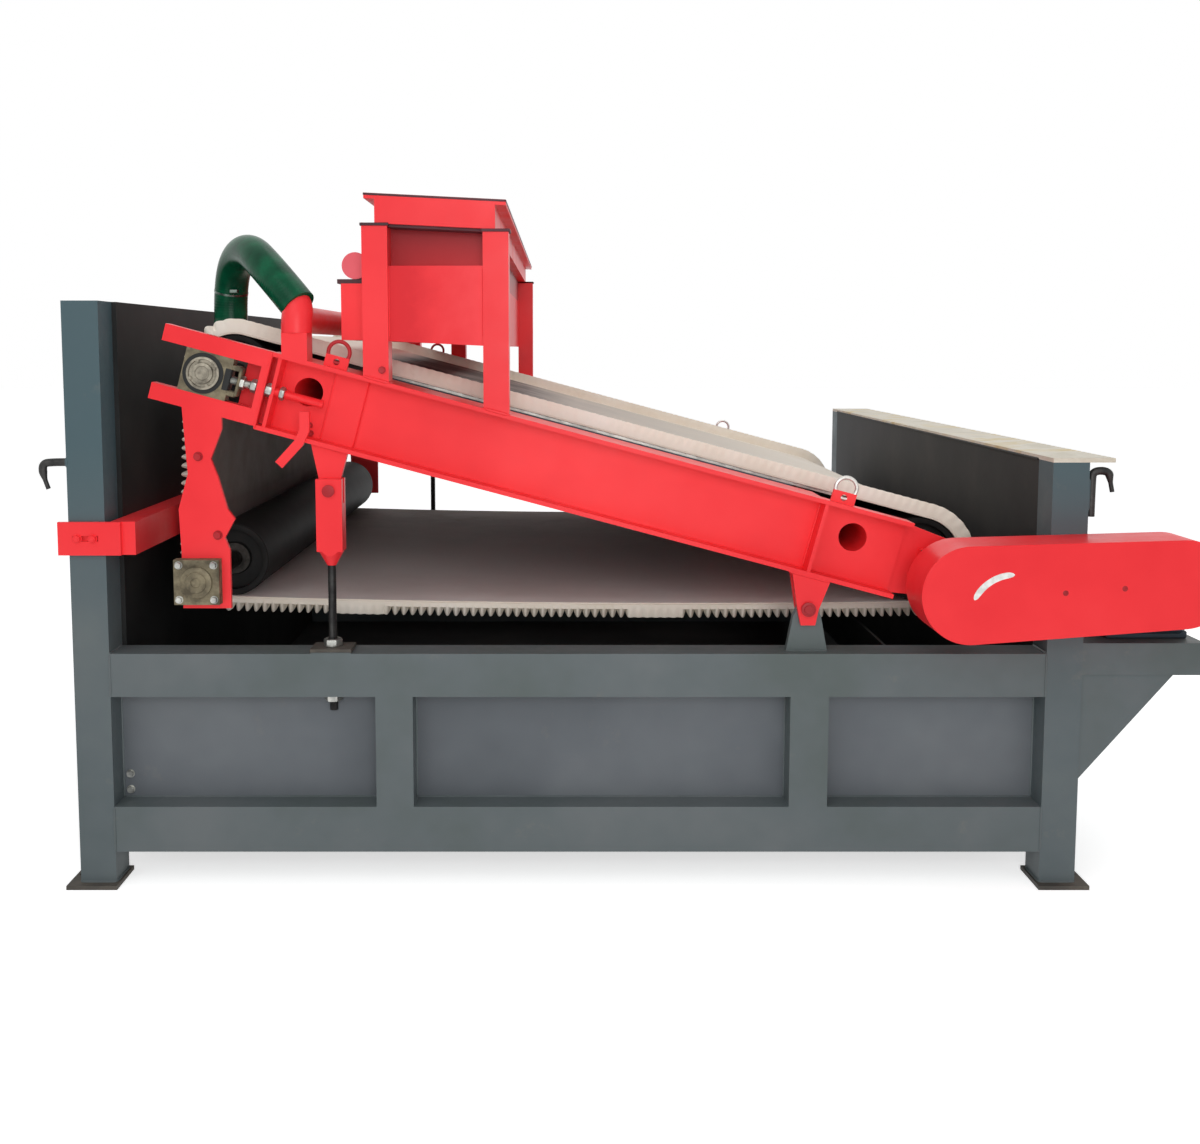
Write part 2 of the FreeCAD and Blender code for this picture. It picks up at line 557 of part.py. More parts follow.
def hinge():
    """Pedestals with ears on the top rails, pins, and the clevis lugs under the beams."""
    mid = f"({PLANE} - ear_thick / 2)"
    outline = [
        ("pin_x - pedestal_foot / 2", RAIL_TOP), ("pin_x + pedestal_foot / 2", RAIL_TOP),
        ("pin_x + pedestal_shoulder / 2", f"{RAIL_TOP} + pedestal_tall"),
        ("pin_x + ear_round / 2", PIN_Z), ("pin_x - ear_round / 2", PIN_Z),
        ("pin_x - pedestal_shoulder / 2", f"{RAIL_TOP} + pedestal_tall"),
    ]
    ear = join(slab(outline, mid, "ear_thick"), rod("ear_round", ("pin_x", mid, PIN_Z), "ear_thick"))
    half_pin = "(ear_thick / 2 + side_gap + cheek_thick + pin_head)"
    pin = rod("pin_dia", ("pin_x", f"{PLANE} - {half_pin}", PIN_Z), f"2 * {half_pin}")
    sub_part("hinge_pedestals", both_sides(join(ear, pin)))
    cheeks = []
    for y_low in (f"{mid} - side_gap - cheek_thick", f"{mid} + ear_thick + side_gap"):
        x_low, x_high = "(pin_x - lug_left)", "(pin_x + lug_right)"
        shape = [
            (x_low, slope_z(x_low, "beam_tall")), (x_high, slope_z(x_high, "beam_tall")),
            ("pin_x + lug_waist / 2", PIN_Z), ("pin_x + lug_foot / 2", f"{PIN_Z} - lug_reach"),
            ("pin_x - lug_foot / 2", f"{PIN_Z} - lug_reach"), ("pin_x - lug_waist / 2", PIN_Z),
        ]
        hole = rod("pin_dia + 2 * running_fit", ("pin_x", f"{y_low} - 1", PIN_Z), "cheek_thick + 2")
        cheeks.append(cut(slab(shape, y_low, "cheek_thick"), hole))
    sub_part("hinge_lugs", both_sides(*cheeks))


JACK_PIN = f"({slope_z('jack_x', 'beam_tall')} - jack_pin_down)"


def screw_jacks():
    """Screw jacks between the beams and the top rails."""
    tongue_y = f"({PLANE} - tongue_thick / 2)"
    x_low, x_high = "(jack_x - tongue_top_wide / 2)", "(jack_x + tongue_top_wide / 2)"
    shape = [
        (x_low, slope_z(x_low, "beam_tall")), (x_high, slope_z(x_high, "beam_tall")),
        ("jack_x + tongue_wide / 2", f"{JACK_PIN} + tongue_wide / 2"), ("jack_x + tongue_wide / 2", JACK_PIN),
        ("jack_x - tongue_wide / 2", JACK_PIN), ("jack_x - tongue_wide / 2", f"{JACK_PIN} + tongue_wide / 2"),
    ]
    tongue = join(
        slab(shape, tongue_y, "tongue_thick"),
        rod("tongue_wide", ("jack_x", tongue_y, JACK_PIN), "tongue_thick"),
    )
    bore = rod("jack_pin_dia + 2 * running_fit", ("jack_x", f"{tongue_y} - 1", JACK_PIN), "tongue_thick + 2")
    sub_part("jack_lugs", both_sides(cut(tongue, bore)))
    half = "(tongue_thick / 2 + side_gap + clevis_cheek)"
    top = f"({JACK_PIN} + clevis_over)"
    body = block(
        ("jack_x - clevis_wide / 2", f"{PLANE} - {half}", f"{JACK_PIN} - clevis_long"),
        ("jack_x + clevis_wide / 2", f"{PLANE} + {half}", top),
    )
    slot_half = "(tongue_thick / 2 + side_gap)"
    slot = block(
        ("jack_x - clevis_wide", f"{PLANE} - {slot_half}", f"{JACK_PIN} - tongue_wide / 2 - clevis_root"),
        ("jack_x + clevis_wide", f"{PLANE} + {slot_half}", f"{top} + 1"),
    )
    half_pin = f"({half} + pin_head)"
    pin = rod("jack_pin_dia", ("jack_x", f"{PLANE} - {half_pin}", JACK_PIN), f"2 * {half_pin}")
    taper = doc.addObject("Part::Cone", "Taper")
    bind(taper, Radius1="rod_dia / 2 + side_gap", Radius2="clevis_wide / 2", Height="taper_tall")
    foot = f"({JACK_PIN} - clevis_long - taper_tall)"
    place(taper, "jack_x", PLANE, foot)
    sides = [
        block(
            ("jack_x - clevis_wide", f"{PLANE} + {low}", f"{foot} - 1"),
            ("jack_x + clevis_wide", f"{PLANE} + {high}", f"{foot} + taper_tall + 1"),
        )
        for low, high in ((f"-{half} - clevis_wide", f"-{half}"), (half, f"{half} + clevis_wide"))
    ]
    sub_part("jack_clevises", both_sides(join(cut(body, slot), pin, cut(taper, *sides))))
    low = f"({RAIL_TOP} - rod_past)"
    stem = rod("rod_dia", ("jack_x", PLANE, low), f"{JACK_PIN} - clevis_long - taper_tall - {low}", "z")
    sub_part("jack_rods", both_sides(stem))
    seat = block(
        ("jack_x - jack_plate_wide / 2", f"{PLANE} - jack_plate_deep / 2", RAIL_TOP),
        ("jack_x + jack_plate_wide / 2", f"{PLANE} + jack_plate_deep / 2", f"{RAIL_TOP} + jack_plate_thick"),
    )
    start = ("jack_x", PLANE, f"{RAIL_TOP} - 1")
    hole = rod("rod_dia + 2 * rail_hole_slack", start, "jack_plate_thick + 2", "z")
    bore_dia = "rod_dia + 2 * rod_slack"
    upper = hexagon("nut_across", ("jack_x", PLANE, f"({RAIL_TOP} + jack_plate_thick)"), "nut_tall", bore_dia)
    lower = hexagon("nut_across", ("jack_x", PLANE, f"({RAIL_LOW} - nut_tall)"), "nut_tall", bore_dia)
    sub_part("jack_nuts", both_sides(cut(seat, hole), upper, lower))


def roller(label, dia, x, z, shaft_half):
    """A roller with its shaft, shorter than the belt at each end."""
    half = f"({BELT_EDGE} - roller_short / 2)"
    shell = rod(dia, (x, f"-{half}", z), f"2 * {half}")
    shaft = rod("shaft_dia", (x, f"-({shaft_half[0]})", z), f"({shaft_half[0]}) + ({shaft_half[1]})")
    sub_part(label, join(shell, shaft))


def rollers():
    """Take-up roller, return roller and drive drum."""
    reach = "(base_deep / 2 - beam_set - take_cover - side_gap)"
    low_reach = "(base_deep / 2 - beam_set + return_flange_thick - take_cover - side_gap)"
    roller("take_up_roller", "roller_dia", "take_x", TAKE_Z, (reach, reach))
    roller("return_roller", "roller_dia", "return_x", RETURN_Z, (low_reach, low_reach))
    roller("drive_drum", "drum_dia", "drum_x", DRUM_Z, ("base_deep / 2 + guard_deep / 2", reach))


def belt_loop(out):
    """The belt's inner line moved out by a distance: arcs round three rollers and runs between."""
    gap = value("belt_gap") + out
    circles = [
        (value("take_x"), value(TAKE_Z), value("roller_dia") / 2 + gap),
        (value("drum_x"), value(DRUM_Z), value("drum_dia") / 2 + gap),
        (value("return_x"), value(RETURN_Z), value("roller_dia") / 2 + gap),
    ]
    touches = []
    for index, (x, z, radius) in enumerate(circles):
        next_x, next_z, next_radius = circles[(index + 1) % 3]
        heading = math.atan2(next_z - z, next_x - x)
        lean = math.acos((radius - next_radius) / math.hypot(next_x - x, next_z - z))
        angle = heading + lean
        normal = FreeCAD.Vector(math.cos(angle), 0, math.sin(angle))
        touches.append((FreeCAD.Vector(x, 0, z) + normal * radius,
                        FreeCAD.Vector(next_x, 0, next_z) + normal * next_radius, angle))
    edges = []
    for index, (x, z, radius) in enumerate(circles):
        before, after = touches[index - 1], touches[index]
        turn = (before[2] - after[2]) % (2 * math.pi)
        angle = before[2] - turn / 2
        middle = FreeCAD.Vector(x + radius * math.cos(angle), 0, z + radius * math.sin(angle))
        edges.append(Part.Arc(before[1], middle, after[0]).toShape())
        if index == 1:
            lowest = (after[0] + after[1]) * 0.5 - FreeCAD.Vector(0, 0, value("belt_sag"))
            edges.append(Part.Arc(after[0], lowest, after[1]).toShape())
        else:
            edges.append(Part.LineSegment(after[0], after[1]).toShape())
    return Part.Wire(edges)


def loop_band(low, high, wide):
    """A closed band between two distances from the belt's inner line."""
    outside = Part.Face(belt_loop(high)).extrude(FreeCAD.Vector(0, wide, 0))
    inside = Part.Face(belt_loop(low)).extrude(FreeCAD.Vector(0, wide, 0))
    return outside.cut(inside)


def belt():
    """One belt loop and the standing walls along both its edges."""
    wide, thick, band = value("belt_wide"), value("belt_thick"), value("wall_band")
    loop = doc.addObject("Part::Feature", "Belt")
    loop.Shape = loop_band(0, thick, wide)
    loop.Placement = FreeCAD.Placement(FreeCAD.Vector(0, -wide / 2, 0), FreeCAD.Rotation())
    sub_part("belt", loop)
    wall = loop_band(thick, thick + value("wall_tall"), band)
    for label, y in (("front_sidewall", -wide / 2), ("back_sidewall", wide / 2 - band)):
        edge = doc.addObject("Part::Feature", "Sidewall")
        edge.Shape = wall.copy()
        edge.Placement = FreeCAD.Placement(FreeCAD.Vector(0, y, 0), FreeCAD.Rotation())
        sub_part(label, edge)


def roller_arms():
    """Hanging plates that carry the return roller from the lower take-up guides."""
    z = RETURN_Z
    x_left, x_right = "(return_x - arm_left)", "(return_x + arm_right)"
    outline = [
        (x_left, slope_z(x_left, GUIDE_LOW_DROP)), (x_right, slope_z(x_right, GUIDE_LOW_DROP)),
        (x_right, f"{TAKE_Z} - {RETURN_DROP} * 0.267"),
    ]
    # The hanging plate's edge: shares of the bearing flange across and of the drop to the roller up
    arm_shape = [
        (0.312, 0.590), (0.464, 0.501), (0.656, 0.347), (0.816, 0.300), (0.584, 0.208), (0.688, 0.148),
        (0.688, -0.136), (-0.376, -0.136), (-0.384, 0.148), (-0.424, 0.347), (-0.200, 0.518),
    ]
    for across, up in arm_shape:
        outline.append((f"return_x + return_flange * {across}", f"{z} + {RETURN_DROP} * {up}"))
    plate = slab(outline, BEAM_Y, "arm_thick")
    hole = rod("hub_dia + 2 * running_fit", ("return_x", f"{BEAM_Y} - 1", z), "arm_thick + 2")
    sub_part("roller_arms", both_sides(cut(plate, hole)))
    half = "return_flange / 2"
    y_low = f"({BEAM_Y} - return_flange_thick)"
    high = (f"return_x + {half}", BEAM_Y, f"{z} + {half}")
    flange = block((f"return_x - {half}", y_low, f"{z} - {half}"), high)
    hub = rod("hub_dia", ("return_x", BEAM_Y, z), "arm_thick")
    bore_long = "return_flange_thick + arm_thick"
    bore = rod("shaft_dia + 2 * running_fit", ("return_x", f"{y_low} + take_cover", z), bore_long)
    sub_part("return_bearings", both_sides(cut(join(flange, hub), bore)))


def take_up():
    """Guides, sliding bearings and pulling screws at the beams' upper ends, along the slope."""
    y_high = f"({BEAM_Y} + guide_thick)"
    half = "(take_housing / 2)"
    mid_y = f"({BEAM_Y} + guide_thick / 2)"
    left, right = f"({TAKE_U} - take_left)", f"({TAKE_U} + take_right)"
    top, low = f"({TAKE_W} + {half} + guide_fit)", f"({TAKE_W} - {half} - guide_fit)"
    upper = block((left, BEAM_Y, top), (right, y_high, "deck_above"))
    lower = block((left, BEAM_Y, f"{low} - guide_low"), (right, y_high, low))
    end = block((right, BEAM_Y, f"{low} - guide_low"), (f"{right} + take_end", y_high, "deck_above"))
    eye = rod("screw_dia + 2 * running_fit", (f"{right} - 1", mid_y, TAKE_W), "take_end + 2", "x")
    sub_part("take_up_guides", on_slope(both_sides(cut(join(upper, lower, end), eye))))
    neck = f"({TAKE_U} + {half} + take_neck)"
    high = (neck, y_high, f"{TAKE_W} + {half}")
    housing = block((f"{TAKE_U} - {half}", BEAM_Y, f"{TAKE_W} - {half}"), high)
    bore = rod("shaft_dia + 2 * running_fit", (TAKE_U, f"{BEAM_Y} + take_cover", TAKE_W), "guide_thick")
    sub_part("take_up_bearings", on_slope(both_sides(cut(housing, bore))))
    screw = rod("screw_dia", (neck, mid_y, TAKE_W), "screw_long", "x")
    sub_part("tension_screws", on_slope(both_sides(screw)))


def drum_bearings():
    """Bearing housings of the drive drum, on plates at the beams' right ends."""
    half = "(drum_housing / 2)"
    y_low = f"({BEAM_Y} + drum_housing_back)"
    housing = block(
        (f"drum_x - {half}", y_low, f"{DRUM_Z} - {half}"),
        (f"drum_x + {half}", f"{y_low} + drum_housing_thick", f"{DRUM_Z} + {half}"),
    )
    bore = rod("shaft_dia + 2 * running_fit", ("drum_x", f"{y_low} - 1", DRUM_Z), "drum_housing_thick + 2")
    sub_part("drum_bearings", both_sides(cut(housing, bore)))
    x_low = "(drum_x - drum_plate_left)"
    outline = [
        (x_low, f"{deck_z(x_low)}"), (f"drum_x + {half}", f"{DRUM_Z} + {half}"),
        (f"drum_x + {half}", f"{DRUM_Z} - {half}"), (x_low, slope_z(x_low, "beam_tall")),
    ]
    y_plate = f"({WEB_Y} + web_thick)"
    plate = slab(outline, y_plate, "arm_thick")
    hole = rod("shaft_dia + 2 * shaft_hole_slack", ("drum_x", f"{y_plate} - 1", DRUM_Z), "arm_thick + 2")
    spacer = block(
        (f"drum_x - {half}", f"{y_low} + drum_housing_thick", f"{DRUM_Z} - {half}"),
        (f"drum_x + {half}", y_plate, f"{DRUM_Z} + {half}"),
    )
    back = f"{y_low} + drum_housing_thick - 1"
    clear = rod("shaft_dia + 2 * shaft_hole_slack", ("drum_x", back, DRUM_Z), f"{y_plate} - ({back}) + 1")
    sub_part("drum_end_plates", both_sides(cut(join(plate, spacer), hole, clear)))


def lean_z(x, base):
    """A height on the hopper that falls gently to the right."""
    return f"({base} - (({x}) - leg_left_at) * tan(hopper_lean))"


def hopper():
    """Feed hopper over the belt on four legs, with its feed box at the left."""
    legs = []
    for x_low in ("leg_left_at", "leg_right_at"):
        x_high = f"({x_low} + leg)"
        outline = [
            (x_low, deck_z(x_low)), (x_high, deck_z(x_high)),
            (x_high, lean_z(x_high, "hopper_rim")), (x_low, lean_z(x_low, "hopper_rim")),
        ]
        legs.append(slab(outline, BEAM_Y, "leg"))
    sub_part("hopper_legs", both_sides(*legs))
    left, right = "(leg_left_at + leg)", "leg_right_at"
    y_low, deep = f"({BEAM_Y} + hopper_back)", f"(-2 * ({BEAM_Y} + hopper_back))"

    def shell(x_low, x_high, z_low, z_high, y, length):
        return slab([
            (x_low, lean_z(x_low, z_low)), (x_high, lean_z(x_high, z_low)),
            (x_high, lean_z(x_high, z_high)), (x_low, lean_z(x_low, z_high)),
        ], y, length)

    outer = shell(left, right, "hopper_low", "hopper_rim", y_low, deep)
    inner = shell(
        f"({left} + hopper_sheet)", f"({right} - hopper_sheet)", "(hopper_low + hopper_sheet)",
        "(hopper_rim + 1)", f"({y_low} + hopper_sheet)", f"({deep} - 2 * hopper_sheet)",
    )
    middle = f"(({left} + {right}) / 2)"
    outlet = block(
        (f"{middle} - outlet_wide / 2", f"-{BELT_EDGE} + hopper_short", "hopper_low - outlet_wide"),
        (f"{middle} + outlet_wide / 2", f"{BELT_EDGE} - hopper_short", "hopper_low + outlet_wide / 2"),
    )

    def steps(sheet):
        """What the upper part is set back at both ends, less a sheet's thickness."""
        low = f"(hopper_step - ({sheet}))"
        deep = f"(step_deep + {sheet})"
        x_low, x_high, high = f"{left} - 1", f"{right} + 1", "hopper_rim + 1"
        return [
            block((x_low, f"{y_low} - 1", low), (x_high, f"{y_low} + {deep}", high)),
            block((x_low, f"-{y_low} - {deep}", low), (x_high, f"-{y_low} + 1", high)),
        ]

    outside = cut(outer, *steps("0"))
    inside = cut(inner, *steps("hopper_sheet"))
    sub_part("hopper_box", cut(outside, inside, outlet))
    f_low, f_high = f"({left} - frame_over)", f"({right} + frame_over)"
    web = shell(f_low, f_high, "hopper_rim", "(hopper_rim + frame_tall)", BEAM_Y, f"-2 * {BEAM_Y}")
    lip = shell(
        f"({f_low} - lip_over)", f"({f_high} + lip_over)", "(hopper_rim + frame_tall)",
        "(hopper_rim + frame_tall + frame_lip)", BEAM_Y, f"-2 * {BEAM_Y}",
    )
    mouth = block(
        (f"{left} + hopper_sheet", f"{BEAM_Y} + mouth_rim", "hopper_rim - mouth_rim"),
        (f"{right} - hopper_sheet", f"-{BEAM_Y} - mouth_rim", "hopper_rim + frame_tall + mouth_rim"),
    )
    sub_part("hopper_frame", cut(join(web, lip), mouth))
    b_low = "(leg_left_at - feed_wide)"
    y_feed = f"({BEAM_Y} + leg)"
    tub = block((b_low, y_feed, "hopper_low"), (left, f"-{y_feed}", "feed_top"))
    hollow = block(
        (f"{b_low} + hopper_sheet", f"{y_feed} + hopper_sheet", "hopper_low + hopper_sheet"),
        (f"{left} - hopper_sheet", f"-{y_feed} - hopper_sheet", "feed_top + 1"),
    )
    sub_part("feed_box", cut(tub, hollow))
    lid_top = "(feed_top + feed_lip)"
    lid = block((f"{b_low} - feed_lip_over", y_feed, "feed_top"), (left, f"-{y_feed}", lid_top))
    sub_part("feed_box_lid", lid)
    at_x, at_z = "(leg_left_at - feed_pipe_left)", f"({lid_top} + feed_pipe / 2)"
    pipe_start = f"({y_feed} + side_gap)"
    sub_part("feed_pipe", rod("feed_pipe", (at_x, pipe_start, at_z), f"-2 * {pipe_start}"))


def bent_path(points):
    """Straight runs between points with a tangent arc at each corner."""
    edges = []
    here = points[0]
    for index in range(1, len(points) - 1):
        before, corner, after = points[index - 1], points[index], points[index + 1]
        back, ahead = (before - corner), (after - corner)
        reach = 0.45 * min(back.Length, ahead.Length)
        back.normalize()
        ahead.normalize()
        start, end = corner + back * reach, corner + ahead * reach
        half_turn = (math.pi - back.getAngle(ahead)) / 2
        radius = reach / math.tan(half_turn)
        middle_way = (back + ahead).normalize()
        middle = corner + middle_way * (radius / math.cos(half_turn) - radius)
        edges.append(Part.LineSegment(here, start).toShape())
        edges.append(Part.Arc(start, middle, end).toShape())
        here = end
        print("pipe bend radius", round(radius), "mm")
    edges.append(Part.LineSegment(here, points[-1]).toShape())
    return Part.Wire(edges)


def wash_water():
    """Posts on the beams that carry the wash pipe across the belt, and its hose."""
    x_low, x_high = "(wash_x - wash_post / 2)", "(wash_x + wash_post / 2)"
    outline = [
        (x_low, deck_z(x_low)), (x_high, deck_z(x_high)), (x_high, "wash_post_top"), (x_low, "wash_post_top"),
    ]
    sub_part("wash_posts", both_sides(slab(outline, BEAM_Y, "wash_post")))
    up = FreeCAD.Vector(0, 0, 1)
    radius = value("socket_dia") / 2
    foot = FreeCAD.Vector(value("wash_x"), value(f"{BEAM_Y} + wash_post / 2"), value("wash_post_top"))
    elbow = foot + up * value("socket_up")
    # The hose's corners: shares of its reach to the left, its reach to the back and its rise
    hose_shape = [(0.30, 0.16, 0.62), (0.68, 0.60, 1.0), (1.0, 1.0, 0.66)]
    left, back, rise = value("hose_left"), value("hose_back"), value("hose_rise")
    aim = FreeCAD.Vector(-left * hose_shape[0][0], back * hose_shape[0][1], rise * hose_shape[0][2])
    first = elbow + aim
    mouth = elbow + FreeCAD.Vector(aim).normalize() * value("socket_reach")
    far_end = FreeCAD.Vector(foot.x, -foot.y, foot.z + value("wash_pipe") / 2)
    rim = Part.Wire([Part.Circle(foot, up, radius).toShape()])
    fitting = bent_path([foot, elbow, mouth]).makePipeShell([rim], True, False)
    pipe_start = FreeCAD.Vector(foot.x, foot.y, far_end.z)
    run = Part.makeCylinder(value("wash_pipe") / 2, -2 * foot.y, pipe_start, FreeCAD.Vector(0, 1, 0))
    pipe = doc.addObject("Part::Feature", "WashPipe")
    pipe.Shape = fitting.fuse(run)
    sub_part("wash_pipe", pipe)
    outlet_low = value(TAKE_Z) + value("roller_dia / 2 + belt_gap + belt_thick + outlet_up")
    end = FreeCAD.Vector(elbow.x - left, elbow.y + back, outlet_low + value("outlet_tall"))
    points = [mouth, first]
    for along, back_share, lift in hose_shape[1:]:
        points.append(elbow + FreeCAD.Vector(-left * along, back * back_share, rise * lift))
    points.append(end)
    path = bent_path(points)
    ring = Part.Wire([Part.Circle(mouth, aim, value("hose_dia") / 2).toShape()])
    hose = doc.addObject("Part::Feature", "Hose")
    hose.Shape = path.makePipeShell([ring], True, False)
    section = math.pi * value("hose_dia") ** 2 / 4
    print("hose length", round(path.Length), "mm, fill", round(hose.Shape.Volume / section / path.Length, 3))
    sub_part("wash_hose", hose)
    outlet = doc.addObject("Part::Cone", "Outlet")
    bind(outlet, Radius1="outlet_dia / 2 + outlet_up", Radius2="outlet_dia / 2", Height="outlet_tall")
    outlet.Placement = FreeCAD.Placement(end - up * value("outlet_tall"), FreeCAD.Rotation())
    sub_part("hose_outlet", outlet)


def lifting_rings():
    """Steel rings in lugs on the beams' top flanges."""
    lugs = []
    y = f"({BEAM_Y} + flange_wide / 2)"
    for x in (f"({BEAM_END_U} + ring_left_in)", "ring_right"):
        lug = block(
            (f"{x} - ring_wide / 2", f"{y} - ring_lug_thick / 2", "deck_above"),
            (f"{x} + ring_wide / 2", f"{y} + ring_lug_thick / 2", "deck_above + ring_wide / 2"),
        )
        centre = (x, f"{y} - ring_lug_thick", "deck_above + ring_wide / 4")
        bore = rod("ring_bar + 2 * side_gap", centre, "2 * ring_lug_thick")
        lugs.append(cut(lug, bore))
    sub_part("ring_lugs", on_slope(both_sides(*lugs)))


def levers():
    """Flat bars that brace the roller arms to the beams."""
    # The lever's corners: shares of its reach
    lever_shape = [
        (0.711, -0.860), (0.901, -0.655), (0.962, -0.522), (0.962, -0.349), (0.876, -0.349), (0.876, -0.503),
        (0.828, -0.606), (0.648, -0.802),
    ]
    outline = []
    for across, up in lever_shape:
        outline.append((f"take_x + lever_reach * {across}", f"{TAKE_Z} + lever_reach * {up}"))
    sub_part("lever_bars", both_sides(slab(outline, f"{BEAM_Y} - lever_thick", "lever_thick")))


def build():
    """Makes every sub-part, in the order in which the machine goes together."""
    posts()
    foot_plates()
    rails()
    stiles_and_panels()
    side_walls()
    tank_inside()
    lifting_hooks()
    drive_platform()
    gear_motor()
    drive_guard()
    scraper()
    side_beams()
    deck_bed()
    hinge()
    screw_jacks()
    rollers()
    belt()
    roller_arms()
    take_up()
    drum_bearings()
    hopper()
    wash_water()
    lifting_rings()
    levers()


def check():
    """Stops if any object failed or any sub-part isn't a valid solid shape."""
    doc.recompute()
    for thing in doc.Objects:
        if "Invalid" in thing.State or "Error" in thing.State:
            raise RuntimeError(f"{thing.Name} ({thing.Label}) did not build: {thing.State}")
    for label, shape in subparts.items():
        if shape.Shape.isNull() or not shape.Shape.isValid() or not shape.Shape.Solids:
            raise RuntimeError(f"{label} has no valid solid")


build()
check()
os.makedirs("parts", exist_ok=True)
for label, thing in subparts.items():
    thing.Shape.exportStep(f"parts/{label}.step")
    print(label, len(thing.Shape.Solids), round(thing.Shape.Volume / 1e6, 2), "litres")
print(len(subparts), "sub-parts")
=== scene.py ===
# Plate magnetic separator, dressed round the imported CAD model.
# One section a piece, in the order in which the machine is put together; all lengths in metres.
import math

import bmesh
import bpy
import numpy as np
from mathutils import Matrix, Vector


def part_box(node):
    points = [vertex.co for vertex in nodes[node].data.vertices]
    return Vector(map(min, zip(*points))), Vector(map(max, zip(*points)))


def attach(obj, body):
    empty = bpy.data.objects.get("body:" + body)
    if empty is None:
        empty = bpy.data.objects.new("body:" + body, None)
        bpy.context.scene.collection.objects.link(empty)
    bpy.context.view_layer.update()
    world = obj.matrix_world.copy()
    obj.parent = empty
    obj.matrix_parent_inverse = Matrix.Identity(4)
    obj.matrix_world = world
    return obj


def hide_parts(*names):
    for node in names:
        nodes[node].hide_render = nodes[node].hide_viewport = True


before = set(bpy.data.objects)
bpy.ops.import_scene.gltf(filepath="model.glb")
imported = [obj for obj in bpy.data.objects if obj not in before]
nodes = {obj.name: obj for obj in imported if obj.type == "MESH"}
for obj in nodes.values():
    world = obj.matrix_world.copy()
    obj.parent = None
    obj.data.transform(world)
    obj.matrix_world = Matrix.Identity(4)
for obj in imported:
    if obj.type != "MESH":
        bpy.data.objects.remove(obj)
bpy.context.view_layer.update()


# Camera
# The photograph was taken at standing eye height, nearly level, a bit left of the machine's middle.
LENS_OVER_WIDTH = 1.0
EYE = (-0.0415, -4.616, 1.512)
LOOK_DOWN = math.radians(5.0)
IMAGE_WIDE, IMAGE_TALL = 1200, 1144
EYE_PIXEL = (563, 453)

camera_data = bpy.data.cameras.new("photo_camera")
camera_data.sensor_width = 36.0
camera_data.lens = 36.0 * LENS_OVER_WIDTH
camera_data.shift_x = (IMAGE_WIDE / 2 - EYE_PIXEL[0]) / IMAGE_WIDE
camera_data.shift_y = (EYE_PIXEL[1] - IMAGE_TALL / 2) / IMAGE_WIDE
camera_data.clip_end = 100.0
camera = bpy.data.objects.new("photo_camera", camera_data)
camera.location = EYE
camera.rotation_euler = (math.pi / 2 - LOOK_DOWN, 0.0, 0.0)
bpy.context.scene.collection.objects.link(camera)
bpy.context.scene.camera = camera


# Tank frame: posts, foot plates, rails, stiles and sheet panels
# Square steel sections and sheet, welded up and sprayed with blue-grey satin alkyd enamel.
def linear(hex_value, strength=1.0):
    """Turns an sRGB hex value to linear red, green and blue with alpha 1."""
    parts = np.array([int(hex_value[i:i + 2], 16) for i in (1, 3, 5)]) / 255.0
    values = np.where(parts <= 0.04045, parts / 12.92, ((parts + 0.055) / 1.055) ** 2.4) * strength
    return (*values.tolist(), 1.0)


def add_node(tree, kind, sockets=(), stops=None, **settings):
    """Adds one shader node, sets its properties, fills or links its sockets and sets a ramp's stops."""
    node = tree.nodes.new(kind)
    for name, setting in settings.items():
        setattr(node, name, setting)
    for name, feed in dict(sockets).items():
        if isinstance(feed, bpy.types.NodeSocket):
            tree.links.new(feed, node.inputs[name])
        else:
            node.inputs[name].default_value = feed
    if stops:
        for extra in range(len(stops) - 2):
            node.color_ramp.elements.new(0.5)
        for element, (place, colour) in zip(node.color_ramp.elements, stops):
            element.position = place
            element.color = colour
    return node


def new_material(name):
    """A material with its empty tree, its output and the object's own coordinates in metres."""
    material = bpy.data.materials.new(name)
    material.use_nodes = True
    tree = material.node_tree
    tree.nodes.clear()
    where = add_node(tree, "ShaderNodeTexCoord").outputs["Object"]
    return material, tree, where


def set_surface(material, tree, shader):
    """Links a shader to the material's output."""
    add_node(tree, "ShaderNodeOutputMaterial", {"Surface": shader.outputs[0]})
    return material


GREY = [0.5, 0.5, 0.5, 1.0]


